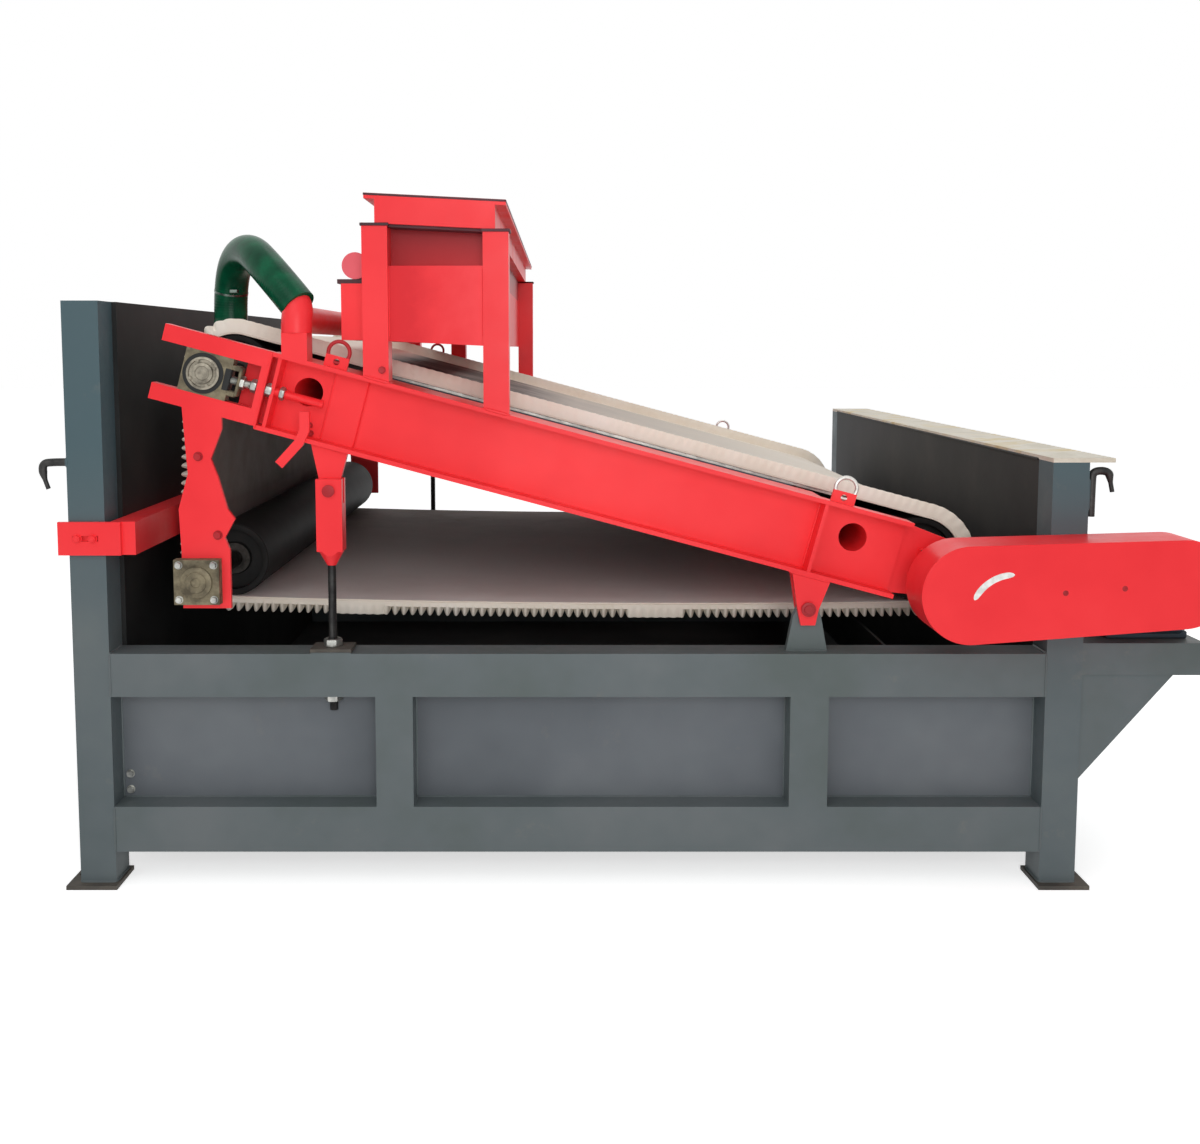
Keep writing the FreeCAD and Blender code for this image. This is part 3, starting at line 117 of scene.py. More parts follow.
def sprayed_enamel(name, tones, roughness, peel_mm=3.0, peel=0.12, cloud=2.2, dust="#8F8578", dust_share=0.62,
                   specular=0.3, upper=None):
    """Sprayed enamel: broad clouds of tone, thin dust in patches and the orange peel of the spray; an upper
    colour may take over between two heights."""
    material, tree, where = new_material(name)
    clouds = add_node(tree, "ShaderNodeTexNoise", {"Vector": where, "Scale": cloud, "Detail": 4.0, "Roughness": 0.6})
    tone = add_node(tree, "ShaderNodeValToRGB", {"Fac": clouds.outputs["Fac"]},
                    [(0.34, linear(tones[0])), (0.5, linear(tones[1])), (0.66, linear(tones[2]))])
    painted = tone.outputs["Color"]
    if upper:
        tall = add_node(tree, "ShaderNodeSeparateXYZ", {"Vector": where})
        share = add_node(tree, "ShaderNodeMapRange", {
            "Value": tall.outputs["Z"], "From Min": upper[1], "From Max": upper[2]})
        painted = add_node(tree, "ShaderNodeMix", {0: share.outputs[0], 6: painted, 7: linear(upper[0])},
                           data_type="RGBA").outputs[2]
    patches = add_node(tree, "ShaderNodeTexNoise", {"Vector": where, "Scale": 9.0, "Detail": 8.0, "Roughness": 0.7})
    cover = add_node(tree, "ShaderNodeValToRGB", {"Fac": patches.outputs["Fac"]},
                     [(dust_share, (0.0, 0.0, 0.0, 1.0)), (dust_share + 0.22, (0.30, 0.30, 0.30, 1.0))])
    mixed = add_node(tree, "ShaderNodeMix", {0: cover.outputs["Color"], 6: painted, 7: linear(dust)},
                     data_type="RGBA")
    gloss = add_node(tree, "ShaderNodeValToRGB", {"Fac": patches.outputs["Fac"]},
                     [(0.3, (roughness * 0.85,) * 3 + (1.0,)), (0.75, (min(1.0, roughness * 1.35),) * 3 + (1.0,))])
    grain = add_node(tree, "ShaderNodeTexNoise", {"Vector": where, "Scale": 1000.0 / peel_mm, "Detail": 1.0})
    bump = add_node(tree, "ShaderNodeBump", {"Height": grain.outputs["Fac"], "Strength": peel, "Distance": 0.0004})
    paint = add_node(tree, "ShaderNodeBsdfPrincipled", {
        "Base Color": mixed.outputs[2], "Roughness": gloss.outputs["Color"], "Normal": bump.outputs["Normal"],
        "Specular IOR Level": specular,
    })
    return set_surface(material, tree, paint)


def wear(material, *names):
    """Gives the CAD nodes of these names a finish."""
    for name in names:
        mesh = nodes[name].data
        mesh.materials.clear()
        mesh.materials.append(material)


frame_enamel = sprayed_enamel("frame_satin_enamel", ("#545D5C", "#5C6466", "#646A6C"), 0.45)
post_enamel = sprayed_enamel("post_satin_enamel", ("#525C5E", "#596265", "#606869"), 0.45,
                             upper=("#465A60", 0.72, 1.25))
panel_enamel = sprayed_enamel("panel_satin_enamel", ("#575C61", "#60656A", "#6B7074"), 0.48, cloud=1.3)
wear(post_enamel, "left_posts", "right_posts")
wear(frame_enamel, "bottom_rails", "top_rails", "stiles", "hinge_pedestals", "motor_platform")
wear(panel_enamel, "back_panels", "front_panels")
foot_enamel = sprayed_enamel("foot_scuffed_enamel", ("#3A3733", "#4C4843", "#5E5850"), 0.6, dust_share=0.5)
wear(foot_enamel, "foot_plates")


# Weld beads of the frame
# Hand-laid fillet welds under the paint: a low bead with a ripple every 8 mm.
def grid_faces(rows, cols, wrap_rows=False, wrap_cols=False):
    """Quads between neighbours of a grid of points, row by row."""
    row = np.arange(rows if wrap_rows else rows - 1)[:, None]
    col = np.arange(cols if wrap_cols else cols - 1)[None, :]
    next_row, next_col = (row + 1) % rows, (col + 1) % cols
    corners = [row * cols + col, row * cols + next_col, next_row * cols + next_col, next_row * cols + col]
    return np.stack(corners, -1).reshape(-1, 4)


def piece(name, shapes, materials, body, sharp=30.0, ranks=None):
    """One object from several shapes, each its points and faces: seams merged, faces outwards, smooth."""
    points = np.concatenate([np.asarray(shape[0], float).reshape(-1, 3) for shape in shapes])
    faces = []
    base = 0
    for shape in shapes:
        for block in shape[1]:
            faces.extend((np.asarray(block) + base).tolist())
        base += len(np.asarray(shape[0], float).reshape(-1, 3))
    mesh = bpy.data.meshes.new(name)
    mesh.from_pydata(points.tolist(), [], faces)
    if not isinstance(materials, (list, tuple)):
        materials = [materials]
    for material in materials:
        mesh.materials.append(material)
    if ranks is not None:
        mesh.polygons.foreach_set("material_index", np.asarray(ranks, np.int32))
    shell = bmesh.new()
    shell.from_mesh(mesh)
    bmesh.ops.remove_doubles(shell, verts=shell.verts, dist=2e-6)
    bmesh.ops.dissolve_degenerate(shell, edges=shell.edges, dist=1e-7)
    bmesh.ops.recalc_face_normals(shell, faces=shell.faces)
    shell.to_mesh(mesh)
    shell.free()
    mesh.polygons.foreach_set("use_smooth", np.ones(len(mesh.polygons), bool))
    mesh.set_sharp_from_angle(angle=math.radians(sharp))
    thing = bpy.data.objects.new(name, mesh)
    bpy.context.scene.collection.objects.link(thing)
    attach(thing, body)
    return thing


def weld_bead(start, end, size=0.007, ripple=0.008):
    """A round bar along a line whose radius swells by a tenth with each ripple, tapering at both ends."""
    start, end = np.array(start, float), np.array(end, float)
    length = np.linalg.norm(end - start)
    count = max(6, int(length / ripple * 3))
    along = np.linspace(0.0, 1.0, count)
    heading = (end - start) / length
    side = np.cross(heading, (0.31, 0.52, 0.79))
    side /= np.linalg.norm(side)
    over = np.cross(heading, side)
    swell = 1.0 + 0.12 * np.abs(np.sin(math.pi * along * length / ripple))
    taper = np.clip(np.minimum(along, 1.0 - along) * length / size, 0.0, 1.0) ** 0.5
    radius = size / 2 * swell * taper
    turn = np.linspace(0.0, 2 * math.pi, 7)[:-1]
    ring = np.cos(turn)[:, None] * side + np.sin(turn)[:, None] * over
    points = (start + along[:, None] * (end - start))[:, None, :] + radius[:, None, None] * ring[None]
    return points, [grid_faces(count, 6, wrap_cols=True)]


def both_sides(shapes):
    """The shapes and their mirror images at the back."""
    return shapes + [(np.asarray(p).reshape(-1, 3) * (1, -1, 1), faces) for p, faces in shapes]


post_low, post_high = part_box("left_posts")
rail_low, rail_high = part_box("top_rails")
bottom_low, bottom_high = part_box("bottom_rails")
panel_low, panel_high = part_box("front_panels")
stile_low, stile_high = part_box("stiles")
FRONT = rail_low.y
RAIL_TOP = rail_high.z
STILE_WIDE_ONE, STILE_WIDE_TWO = 0.104, 0.107
bays = [
    (rail_low.x, stile_low.x), (stile_low.x + STILE_WIDE_ONE, stile_high.x - STILE_WIDE_TWO),
    (stile_high.x, rail_high.x),
]
welds = []
for bay_left, bay_right in bays:
    for height in (panel_low.z, panel_high.z):
        welds.append(weld_bead((bay_left, panel_low.y, height), (bay_right, panel_low.y, height)))
    for edge in (bay_left, bay_right):
        welds.append(weld_bead((edge, panel_low.y, panel_low.z), (edge, panel_low.y, panel_high.z)))
for edge in (rail_low.x, rail_high.x):
    welds.append(weld_bead((edge, FRONT, rail_low.z), (edge, FRONT, rail_high.z), 0.006))
    welds.append(weld_bead((edge, FRONT, bottom_low.z), (edge, FRONT, bottom_high.z), 0.006))
    welds.append(weld_bead((edge, FRONT, RAIL_TOP), (edge, FRONT + 0.1, RAIL_TOP), 0.008))
for edge in (stile_low.x, stile_low.x + STILE_WIDE_ONE, stile_high.x - STILE_WIDE_TWO, stile_high.x):
    welds.append(weld_bead((edge, FRONT + 0.002, panel_low.z), (edge, panel_low.y, panel_low.z), 0.006))
    welds.append(weld_bead((edge, FRONT + 0.002, panel_high.z), (edge, panel_low.y, panel_high.z), 0.006))
POST_WIDE = 0.1
foot_low, foot_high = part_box("foot_plates")
for left_edge in (post_low.x, -post_low.x - POST_WIDE):
    for edge in (left_edge, left_edge + POST_WIDE):
        welds.append(weld_bead((edge, FRONT, foot_high.z), (edge, FRONT + POST_WIDE, foot_high.z), 0.009))
    welds.append(weld_bead((left_edge, FRONT, foot_high.z), (left_edge + POST_WIDE, FRONT, foot_high.z), 0.009))
piece("frame_welds", both_sides(welds), frame_enamel, "base")


# Panel bolts
# Two M12 bolts hold an inside bracket to the first panel, low at the left.
def hex_bolt(centre, axis, across=0.019, tall=0.008, washer=0.024, turn=0.3, stud=0.0):
    """A washer, a hexagon whose corners are cut by a cone, and the round end of the screw past it."""
    axis = np.array(axis, float) / np.linalg.norm(axis)
    side = np.cross(axis, (0.2, 0.3, 0.93) if abs(axis[2]) < 0.9 else (1.0, 0.0, 0.0))
    side /= np.linalg.norm(side)
    over = np.cross(axis, side)
    angle = np.linspace(0.0, 2 * math.pi, 25)[:-1]
    hexagon = across / 2 / np.cos((angle + turn) % (math.pi / 3) - math.pi / 6)
    flat = np.full(24, 1.0)
    disc = washer / 2
    thick = washer * 0.09
    rings = [
        (flat * 0.0, 0.0), (flat * disc, 0.0), (flat * disc, thick), (hexagon, thick),
        (hexagon, thick + tall * 0.72), (np.minimum(hexagon, across * 0.525), thick + tall * 0.86),
        (flat * across * 0.46, thick + tall),
    ]
    if stud:
        rings += [(flat * across * 0.30, thick + tall), (flat * across * 0.30, thick + tall + stud * 0.85),
                  (flat * across * 0.24, thick + tall + stud), (flat * 0.0, thick + tall + stud)]
    else:
        rings += [(flat * across * 0.34, thick + tall * 0.97), (flat * 0.0, thick + tall * 0.97)]
    circle = np.cos(angle)[:, None] * side + np.sin(angle)[:, None] * over
    points = [np.array(centre, float) + radius[:, None] * circle + height * axis for radius, height in rings]
    return np.stack(points), [grid_faces(len(rings), 24, wrap_cols=True)]


def metal(name, tones, roughness, grain_mm=1.5, grain=0.15, metallic=1.0):
    """Bare or plated steel: uneven tone where it was handled, and a fine surface grain."""
    material, tree, where = new_material(name)
    clouds = add_node(tree, "ShaderNodeTexNoise", {"Vector": where, "Scale": 28.0, "Detail": 6.0, "Roughness": 0.65})
    tone = add_node(tree, "ShaderNodeValToRGB", {"Fac": clouds.outputs["Fac"]},
                    [(0.36, linear(tones[0])), (0.64, linear(tones[1]))])
    rough = add_node(tree, "ShaderNodeValToRGB", {"Fac": clouds.outputs["Fac"]},
                     [(0.3, (roughness * 1.3,) * 3 + (1.0,)), (0.7, (roughness * 0.8,) * 3 + (1.0,))])
    fine = add_node(tree, "ShaderNodeTexNoise", {"Vector": where, "Scale": 1000.0 / grain_mm, "Detail": 2.0})
    bump = add_node(tree, "ShaderNodeBump", {"Height": fine.outputs["Fac"], "Strength": grain, "Distance": 0.0003})
    steel = add_node(tree, "ShaderNodeBsdfPrincipled", {
        "Base Color": tone.outputs["Color"], "Roughness": rough.outputs["Color"],
        "Normal": bump.outputs["Normal"], "Metallic": metallic,
    })
    return set_surface(material, tree, steel)


zinc = metal("zinc_plated_steel", ("#8E8F8C", "#C4C4BE"), 0.42)
panel_bolts = [
    hex_bolt((rail_low.x + 0.020, panel_low.y, height), (0, -1, 0), 0.018, 0.008, 0.024)
    for height in (panel_low.z + 0.022, panel_low.z + 0.068)
]
piece("panel_bolts", panel_bolts, zinc, "base")


# Tank walls, floor and chute
# Sheet steel boxes in a near-black matt coat, which is partly painted shade for the dark inside of the tank; the right
# wall has a stained overhanging cap.
def near_black_coat_and_shade():
    """Near-black matt coat, partly painted shade for the dark tank: brownish splash marks and a dull, slightly rough
    skin.
    """
    material, tree, where = new_material("matt_black_coat_and_painted_shade")
    blot = add_node(tree, "ShaderNodeTexNoise", {"Vector": where, "Scale": 3.0, "Detail": 7.0, "Roughness": 0.62})
    tone = add_node(tree, "ShaderNodeValToRGB", {"Fac": blot.outputs["Fac"]},
                    [(0.32, linear("#0C0D0D")), (0.52, linear("#1B1C1C")), (0.72, linear("#2A2927"))])
    skin = add_node(tree, "ShaderNodeTexNoise", {"Vector": where, "Scale": 260.0, "Detail": 2.0})
    bump = add_node(tree, "ShaderNodeBump", {"Height": skin.outputs["Fac"], "Strength": 0.2, "Distance": 0.0005})
    coat = add_node(tree, "ShaderNodeBsdfPrincipled", {
        "Base Color": tone.outputs["Color"], "Roughness": 0.62, "Specular IOR Level": 0.3,
        "Normal": bump.outputs["Normal"],
    })
    return set_surface(material, tree, coat)


# Near-black coat, partly painted shade: it keeps the inside of the tank as dark as its shade.
black_coat_and_shade = near_black_coat_and_shade()
wear(black_coat_and_shade, "left_wall", "right_wall", "tank_floor", "tailings_chute")

STAIN_PATCH = 5.0


def stained_cap():
    """Cream primer over galvanised sheet: yellow-brown water stains in broad blots with thin rims."""
    material, tree, where = new_material("stained_cap_paint")
    blot = add_node(tree, "ShaderNodeTexNoise", {
        "Vector": where, "Scale": STAIN_PATCH, "Detail": 9.0, "Roughness": 0.6, "Distortion": 0.6})
    tone = add_node(tree, "ShaderNodeValToRGB", {"Fac": blot.outputs["Fac"]},
                    [(0.40, linear("#C9C2B0")), (0.52, linear("#D8D2C4")), (0.61, linear("#CFC09A")),
                     (0.70, linear("#C4AC70"))])
    skin = add_node(tree, "ShaderNodeTexNoise", {"Vector": where, "Scale": 300.0})
    bump = add_node(tree, "ShaderNodeBump", {"Height": skin.outputs["Fac"], "Strength": 0.15, "Distance": 0.0004})
    coat = add_node(tree, "ShaderNodeBsdfPrincipled", {
        "Base Color": tone.outputs["Color"], "Roughness": 0.55, "Normal": bump.outputs["Normal"]})
    return set_surface(material, tree, coat)


wear(stained_cap(), "right_wall_cap")

cap_low, cap_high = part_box("right_wall_cap")
wall_low, wall_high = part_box("right_wall")
tank_wall_welds = []
for x, z in ((wall_low.x, cap_low.z), (wall_low.x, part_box("tank_floor")[1].z)):
    tank_wall_welds.append(weld_bead((x, -1.25, z), (x, 1.25, z), 0.008, 0.012))
piece("tank_welds", tank_wall_welds, black_coat_and_shade, "base")


# Lifting hooks
# Bent 22 mm round bar, welded to the posts and left in dark mill scale.
dark_steel = metal("mill_scale_steel", ("#1E1E1F", "#3B3A39"), 0.5, metallic=0.6)
HOOK_BAR = 0.022
hook_low, hook_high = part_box("lifting_hooks")
HOOK_Y = FRONT + 0.013


def spline_line(points, steps=24):
    """The line of a quadratic NURBS spline over the given points, from the first to the last."""
    curve = bpy.data.curves.new("route", "CURVE")
    curve.dimensions = "3D"
    curve.resolution_u = steps
    spline = curve.splines.new("NURBS")
    spline.points.add(len(points) - 1)
    spline.points.foreach_set("co", np.insert(np.array(points, float), 3, 1.0, axis=1).ravel())
    spline.order_u = 3
    spline.use_endpoint_u = True
    holder = bpy.data.objects.new("route", curve)
    mesh = bpy.data.meshes.new_from_object(holder)
    line = np.zeros(len(mesh.vertices) * 3)
    mesh.vertices.foreach_get("co", line)
    bpy.data.objects.remove(holder)
    bpy.data.curves.remove(curve)
    bpy.data.meshes.remove(mesh)
    return line.reshape(-1, 3)


def evenly(path, spacing):
    """The same curve with its points evenly spaced."""
    length = np.concatenate([[0.0], np.cumsum(np.linalg.norm(np.diff(path, axis=0), axis=1))])
    place = np.linspace(0.0, length[-1], int(length[-1] / spacing) + 1)
    return np.stack([np.interp(place, length, path[:, k]) for k in range(3)], -1), place


def tube(path, radius, segments=40, fixed=(0.55, 0.80, 0.0)):
    """A closed tube of given radius along a path; each ring is square to the path, turned from one fixed
    direction."""
    heading = np.gradient(path, axis=0)
    heading /= np.linalg.norm(heading, axis=1, keepdims=True)
    fixed = np.array(fixed) / np.linalg.norm(fixed)
    side = fixed - heading * (heading @ fixed)[:, None]
    side /= np.linalg.norm(side, axis=1, keepdims=True)
    over = np.cross(heading, side)
    angle = np.linspace(0.0, 2 * math.pi, segments + 1)[:-1]
    reach = np.broadcast_to(np.asarray(radius, float), (len(path), segments)) if np.ndim(radius) < 2 else radius
    points = path[:, None] + reach[..., None] * (
        np.cos(angle)[None, :, None] * side[:, None] + np.sin(angle)[None, :, None] * over[:, None])
    last = (len(path) - 1) * segments
    return points, [grid_faces(len(path), segments, wrap_cols=True), [list(range(segments))],
                    [list(range(last, last + segments))]]


left_top, right_top = hook_high.z - HOOK_BAR / 2, 1.176
left_hook = [(post_low.x + 0.002, left_top), (post_low.x - 0.045, left_top), (post_low.x - 0.070, left_top - 0.004),
             (post_low.x - 0.070, left_top - 0.036), (post_low.x - 0.056, left_top - 0.074)]
right_hook = [(-post_low.x + 0.0115, right_top - 0.126), (-post_low.x + 0.0115, right_top - 0.030),
              (-post_low.x + 0.014, right_top), (-post_low.x + 0.058, right_top),
              (-post_low.x + 0.062, right_top - 0.026), (-post_low.x + 0.069, right_top - 0.058)]
hooks = []
for outline in (left_hook, right_hook):
    route = evenly(spline_line([(x, HOOK_Y, z) for x, z in outline]), 0.004)[0]
    slim = np.clip(np.linspace(len(route), 0, len(route)) / 12.0, 0.55, 1.0)
    hooks.append(tube(route, HOOK_BAR / 2 * slim[:, None] * np.ones((1, 20)), 20, (0.0, 1.0, 0.0)))
hook_set = piece("bent_lifting_hooks", both_sides(hooks), dark_steel, "base", 50.0)
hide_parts("lifting_hooks")
hook_welds = [weld_bead((-post_low.x + 0.001, HOOK_Y + side, right_top - 0.110),
                        (-post_low.x + 0.001, HOOK_Y + side, right_top - 0.020)) for side in (-0.009, 0.009)]


def ring_weld(centre, axis, radius, size=0.007):
    """A bead bent to a circle round an axis, swelling with each ripple."""
    axis = np.array(axis, float)
    side = np.cross(axis, (0.0, 0.0, 1.0) if abs(axis[2]) < 0.9 else (1.0, 0.0, 0.0))
    over = np.cross(axis, side)
    count = max(18, int(2 * math.pi * radius / 0.003))
    turn = np.linspace(0.0, 2 * math.pi, count + 1)[:-1]
    out = np.cos(turn)[:, None] * side + np.sin(turn)[:, None] * over
    swell = size / 2 * (1.0 + 0.12 * np.abs(np.sin(turn * radius / 0.008 * math.pi)))
    section = np.linspace(0.0, 2 * math.pi, 7)[:-1]
    points = (np.array(centre, float) + radius * out)[:, None, :] + swell[:, None, None] * (
        np.cos(section)[None, :, None] * out[:, None, :] + np.sin(section)[None, :, None] * axis)
    return points, [grid_faces(count, 6, True, True)]


hook_welds.append(ring_weld((post_low.x, HOOK_Y, left_top), (1, 0, 0), HOOK_BAR / 2 + 0.002))
piece("hook_welds", both_sides(hook_welds), post_enamel, "base")


# Gear motor
# Cast iron worm gearbox and finned motor in dark blue-grey enamel, with a sheet cowl over the fan.
def chamfered(low, high, cut):
    """A box whose twelve edges are cut flat: three points a corner, one for each face that meets there."""
    low, high = np.array(low, float), np.array(high, float)
    middle, half = (low + high) / 2, (high - low) / 2
    signs = np.array([(i, j, k) for i in (-1, 1) for j in (-1, 1) for k in (-1, 1)])
    points = (middle + signs * (half - cut))[:, None, :] + signs[:, None, :] * np.eye(3)[None] * cut
    faces = [[(c * 3, c * 3 + 1, c * 3 + 2) for c in range(8)], [], []]
    for axis in range(3):
        one, two = [k for k in range(3) if k != axis]
        for sign in (-1, 1):
            around = [(-1, -1), (1, -1), (1, 1), (-1, 1)]
            corners = []
            for a, b in around:
                want = [0, 0, 0]
                want[axis], want[one], want[two] = sign, a, b
                corners.append(int(np.where((signs == want).all(1))[0][0]) * 3 + axis)
            faces[1].append(tuple(corners))
        step = 4 >> axis
        for corner in range(8):
            if signs[corner][axis] < 0:
                other = corner + step
                faces[2].append((corner * 3 + one, corner * 3 + two, other * 3 + two, other * 3 + one))
    return points.reshape(-1, 3), faces


def turned(profile, centre, axis="y", segments=48):
    """A profile of radius and place along an axis, spun a full turn round it."""
    radius, along = np.array(profile, float).T
    angle = np.linspace(0.0, 2 * math.pi, segments + 1)[:-1]
    across, up = radius[:, None] * np.cos(angle), radius[:, None] * np.sin(angle)
    straight = np.repeat(along[:, None], segments, 1)
    order = {"x": (straight, across, up), "y": (across, straight, up), "z": (across, up, straight)}[axis]
    points = np.stack(order, -1) + np.array(centre, float)
    return points, [grid_faces(len(profile), segments, wrap_cols=True)]


def finned_barrel(centre, radius, depth, start, length, fins=36):
    """A motor frame: its radius drops by the fin depth between fins, as a rounded square wave round the axis."""
    angle = np.linspace(0.0, 2 * math.pi, fins * 8 + 1)[:-1]
    wave = 1.0 / (1.0 + np.exp(-9.0 * np.cos(angle * fins)))
    outline = radius - depth * (1.0 - wave)
    rows = [(0.0, 0.0), (0.72, 0.0), (1.0, 0.012), (1.0, length - 0.012), (0.72, length), (0.0, length)]
    points = []
    for share, along in rows:
        ring = np.minimum(outline, radius * share) if share < 1.0 else outline
        points.append(np.stack([ring * np.cos(angle), np.full(angle.shape, start + along), ring * np.sin(angle)], -1))
    return np.stack(points) + np.array(centre, float), [grid_faces(len(rows), len(angle), wrap_cols=True)]


motor_enamel = sprayed_enamel("motor_enamel", ("#2F3B44", "#374550", "#41505B"), 0.38, peel_mm=2.0, dust_share=0.56)
MOTOR_X, MOTOR_Z, AXIS_Z = 1.600, 0.890, 0.805
BOX_WIDE, BOX_DEEP, BOX_FRONT = 0.230, 0.170, FRONT + 0.040
PLATFORM_TOP = 0.697
box_back = BOX_FRONT + BOX_DEEP
motor_shapes = [
    chamfered((MOTOR_X - 0.108, BOX_FRONT, PLATFORM_TOP + 0.012),
              (MOTOR_X + 0.108, box_back, MOTOR_Z + 0.076), 0.014),
    chamfered((MOTOR_X - BOX_WIDE / 2, BOX_FRONT + 0.012, PLATFORM_TOP),
              (MOTOR_X + BOX_WIDE / 2, box_back - 0.012, PLATFORM_TOP + 0.022), 0.004),
    finned_barrel((MOTOR_X, 0, AXIS_Z), 0.095, 0.016, box_back + 0.018, 0.300),
    turned([(0.0, 0.0), (0.095, 0.0), (0.095, 0.016), (0.078, 0.020), (0.0, 0.020)], (MOTOR_X, box_back, AXIS_Z)),
    turned([(0.0, 0.0), (0.101, 0.0), (0.101, 0.048), (0.094, 0.058), (0.070, 0.060), (0.0, 0.060)],
           (MOTOR_X, box_back + 0.330, AXIS_Z)),
    turned([(0.0, 0.0), (0.090, 0.0), (0.090, 0.020), (0.0, 0.020)], (MOTOR_X, box_back + 0.316, AXIS_Z)),
    chamfered((MOTOR_X + 0.070, box_back + 0.064, AXIS_Z - 0.050),
              (MOTOR_X + 0.122, box_back + 0.186, AXIS_Z + 0.050), 0.006),
    chamfered((MOTOR_X + 0.121, box_back + 0.060, AXIS_Z - 0.055),
              (MOTOR_X + 0.134, box_back + 0.190, AXIS_Z + 0.055), 0.004),
    turned([(0.0, 0.0), (0.062, 0.0), (0.062, 0.010), (0.045, 0.016), (0.0, 0.016)],
           (MOTOR_X, BOX_FRONT - 0.016, MOTOR_Z)),
]
for step in range(5):
    rib_x = MOTOR_X - 0.084 + step * 0.042
    motor_shapes.append(chamfered((rib_x - 0.004, BOX_FRONT + 0.02, MOTOR_Z + 0.06),
                                  (rib_x + 0.004, box_back - 0.02, MOTOR_Z + 0.0838), 0.002))
motor = piece("dressed_gear_motor", motor_shapes, motor_enamel, "base", 35.0)
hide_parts("gear_motor")
motor_steel = [turned([(0.0, 0.0), (0.023, 0.0), (0.025, 0.002), (0.025, 0.1335), (0.0, 0.1335)],
                      (MOTOR_X, FRONT - 0.0735, MOTOR_Z))]
for x in (-0.098, 0.098):
    for y in (0.035, 0.135):
        motor_steel.append(hex_bolt((MOTOR_X + x, BOX_FRONT + y, PLATFORM_TOP + 0.022), (0, 0, 1), 0.018, 0.009,
                                    0.024, stud=0.006))
for step in range(6):
    turn = step * math.pi / 3
    motor_steel.append(hex_bolt((MOTOR_X + 0.072 * math.cos(turn), BOX_FRONT, MOTOR_Z + 0.072 * math.sin(turn)),
                                (0, -1, 0), 0.013, 0.006, 0.017))
for z in (-0.045, 0.045):
    for y in (0.070, 0.180):
        motor_steel.append(hex_bolt((MOTOR_X + 0.134, box_back + y, AXIS_Z + z), (1, 0, 0), 0.008, 0.004, 0.010))
piece("motor_bolts", motor_steel, zinc, "base")
grille = [turned([(r, 0.0), (r + 0.004, 0.0), (r + 0.004, 0.003), (r, 0.003), (r, 0.0)],
                 (MOTOR_X, box_back + 0.3895, AXIS_Z)) for r in np.linspace(0.018, 0.062, 5)]
piece("cowl_grille", grille, dark_steel, "base")


# Belt guard of the drive
# Pressed sheet cover in red enamel, with a rolled edge, a pale strip of painted highlight along a curved groove, and
# small screws.
red_enamel = sprayed_enamel("red_gloss_enamel", ("#EA2B32", "#F23238", "#F73A3F"), 0.34, peel_mm=2.5, peel=0.10,
                            cloud=1.6, dust="#E99A8E", dust_share=0.68, specular=0.25)
# A darker, duller red for small fixings and the left lifting rings: partly thin dirty paint, partly painted shade, so
# that they show as dark dots.
dark_shaded_red = sprayed_enamel("dark_shaded_red_enamel", ("#93181F", "#A81F27", "#BC282F"), 0.42)
wear(red_enamel, "drive_guard", "guard_back_plate")
DRUM = np.array((1.037, 0.0, 0.872597))
MOTOR = np.array((MOTOR_X, 0.0, MOTOR_Z))
GUARD_ROUND = DRUM - (0.0, 0.0, 0.012)
GUARD_NEAR, GUARD_FAR = 0.132, 0.119
guard_low, guard_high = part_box("drive_guard")
GUARD_FACE = guard_low.y


def guard_line(inset, steps=28):
    """The guard's outline moved in by a distance: half circles round both shafts, joined by their tangents."""
    heading = math.atan2(MOTOR[2] - GUARD_ROUND[2], MOTOR[0] - GUARD_ROUND[0])
    lean = math.acos((GUARD_NEAR - GUARD_FAR) / np.linalg.norm(MOTOR - GUARD_ROUND))
    left = np.linspace(heading + lean, heading - lean + 2 * math.pi, steps)
    right = np.linspace(heading - lean, heading + lean, steps)
    ends = [GUARD_ROUND + (GUARD_NEAR - inset) * np.stack([np.cos(left), left * 0, np.sin(left)], -1),
            MOTOR + (GUARD_FAR - inset) * np.stack([np.cos(right), right * 0, np.sin(right)], -1)]
    return np.concatenate(ends)


rim_rows = []
for inset, out in ((0.0, 0.004), (0.0002, 0.0008), (0.003, -0.0006), (0.006, 0.0003), (0.006, 0.004)):
    rim_rows.append(guard_line(inset) + (0.0, GUARD_FACE + out, 0.0))
rim_rows = np.stack(rim_rows)
piece("guard_rolled_edge", [(rim_rows, [grid_faces(5, rim_rows.shape[1], wrap_rows=True, wrap_cols=True)])],
      red_enamel, "base")

# Painted highlight: a pale, slightly glossy strip along the arc of a curved groove, standing for the glint on it.
highlight_strip_material, tree, where = new_material("pale_painted_highlight")
scuff = add_node(tree, "ShaderNodeTexNoise", {"Vector": where, "Scale": 60.0, "Detail": 5.0})
tone = add_node(tree, "ShaderNodeValToRGB", {"Fac": scuff.outputs["Fac"]},
                [(0.35, linear("#D8D6D2")), (0.6, linear("#F2F1EE"))])
pale = set_surface(highlight_strip_material, tree, add_node(
    tree, "ShaderNodeBsdfPrincipled", {"Base Color": tone.outputs["Color"], "Roughness": 0.4}))

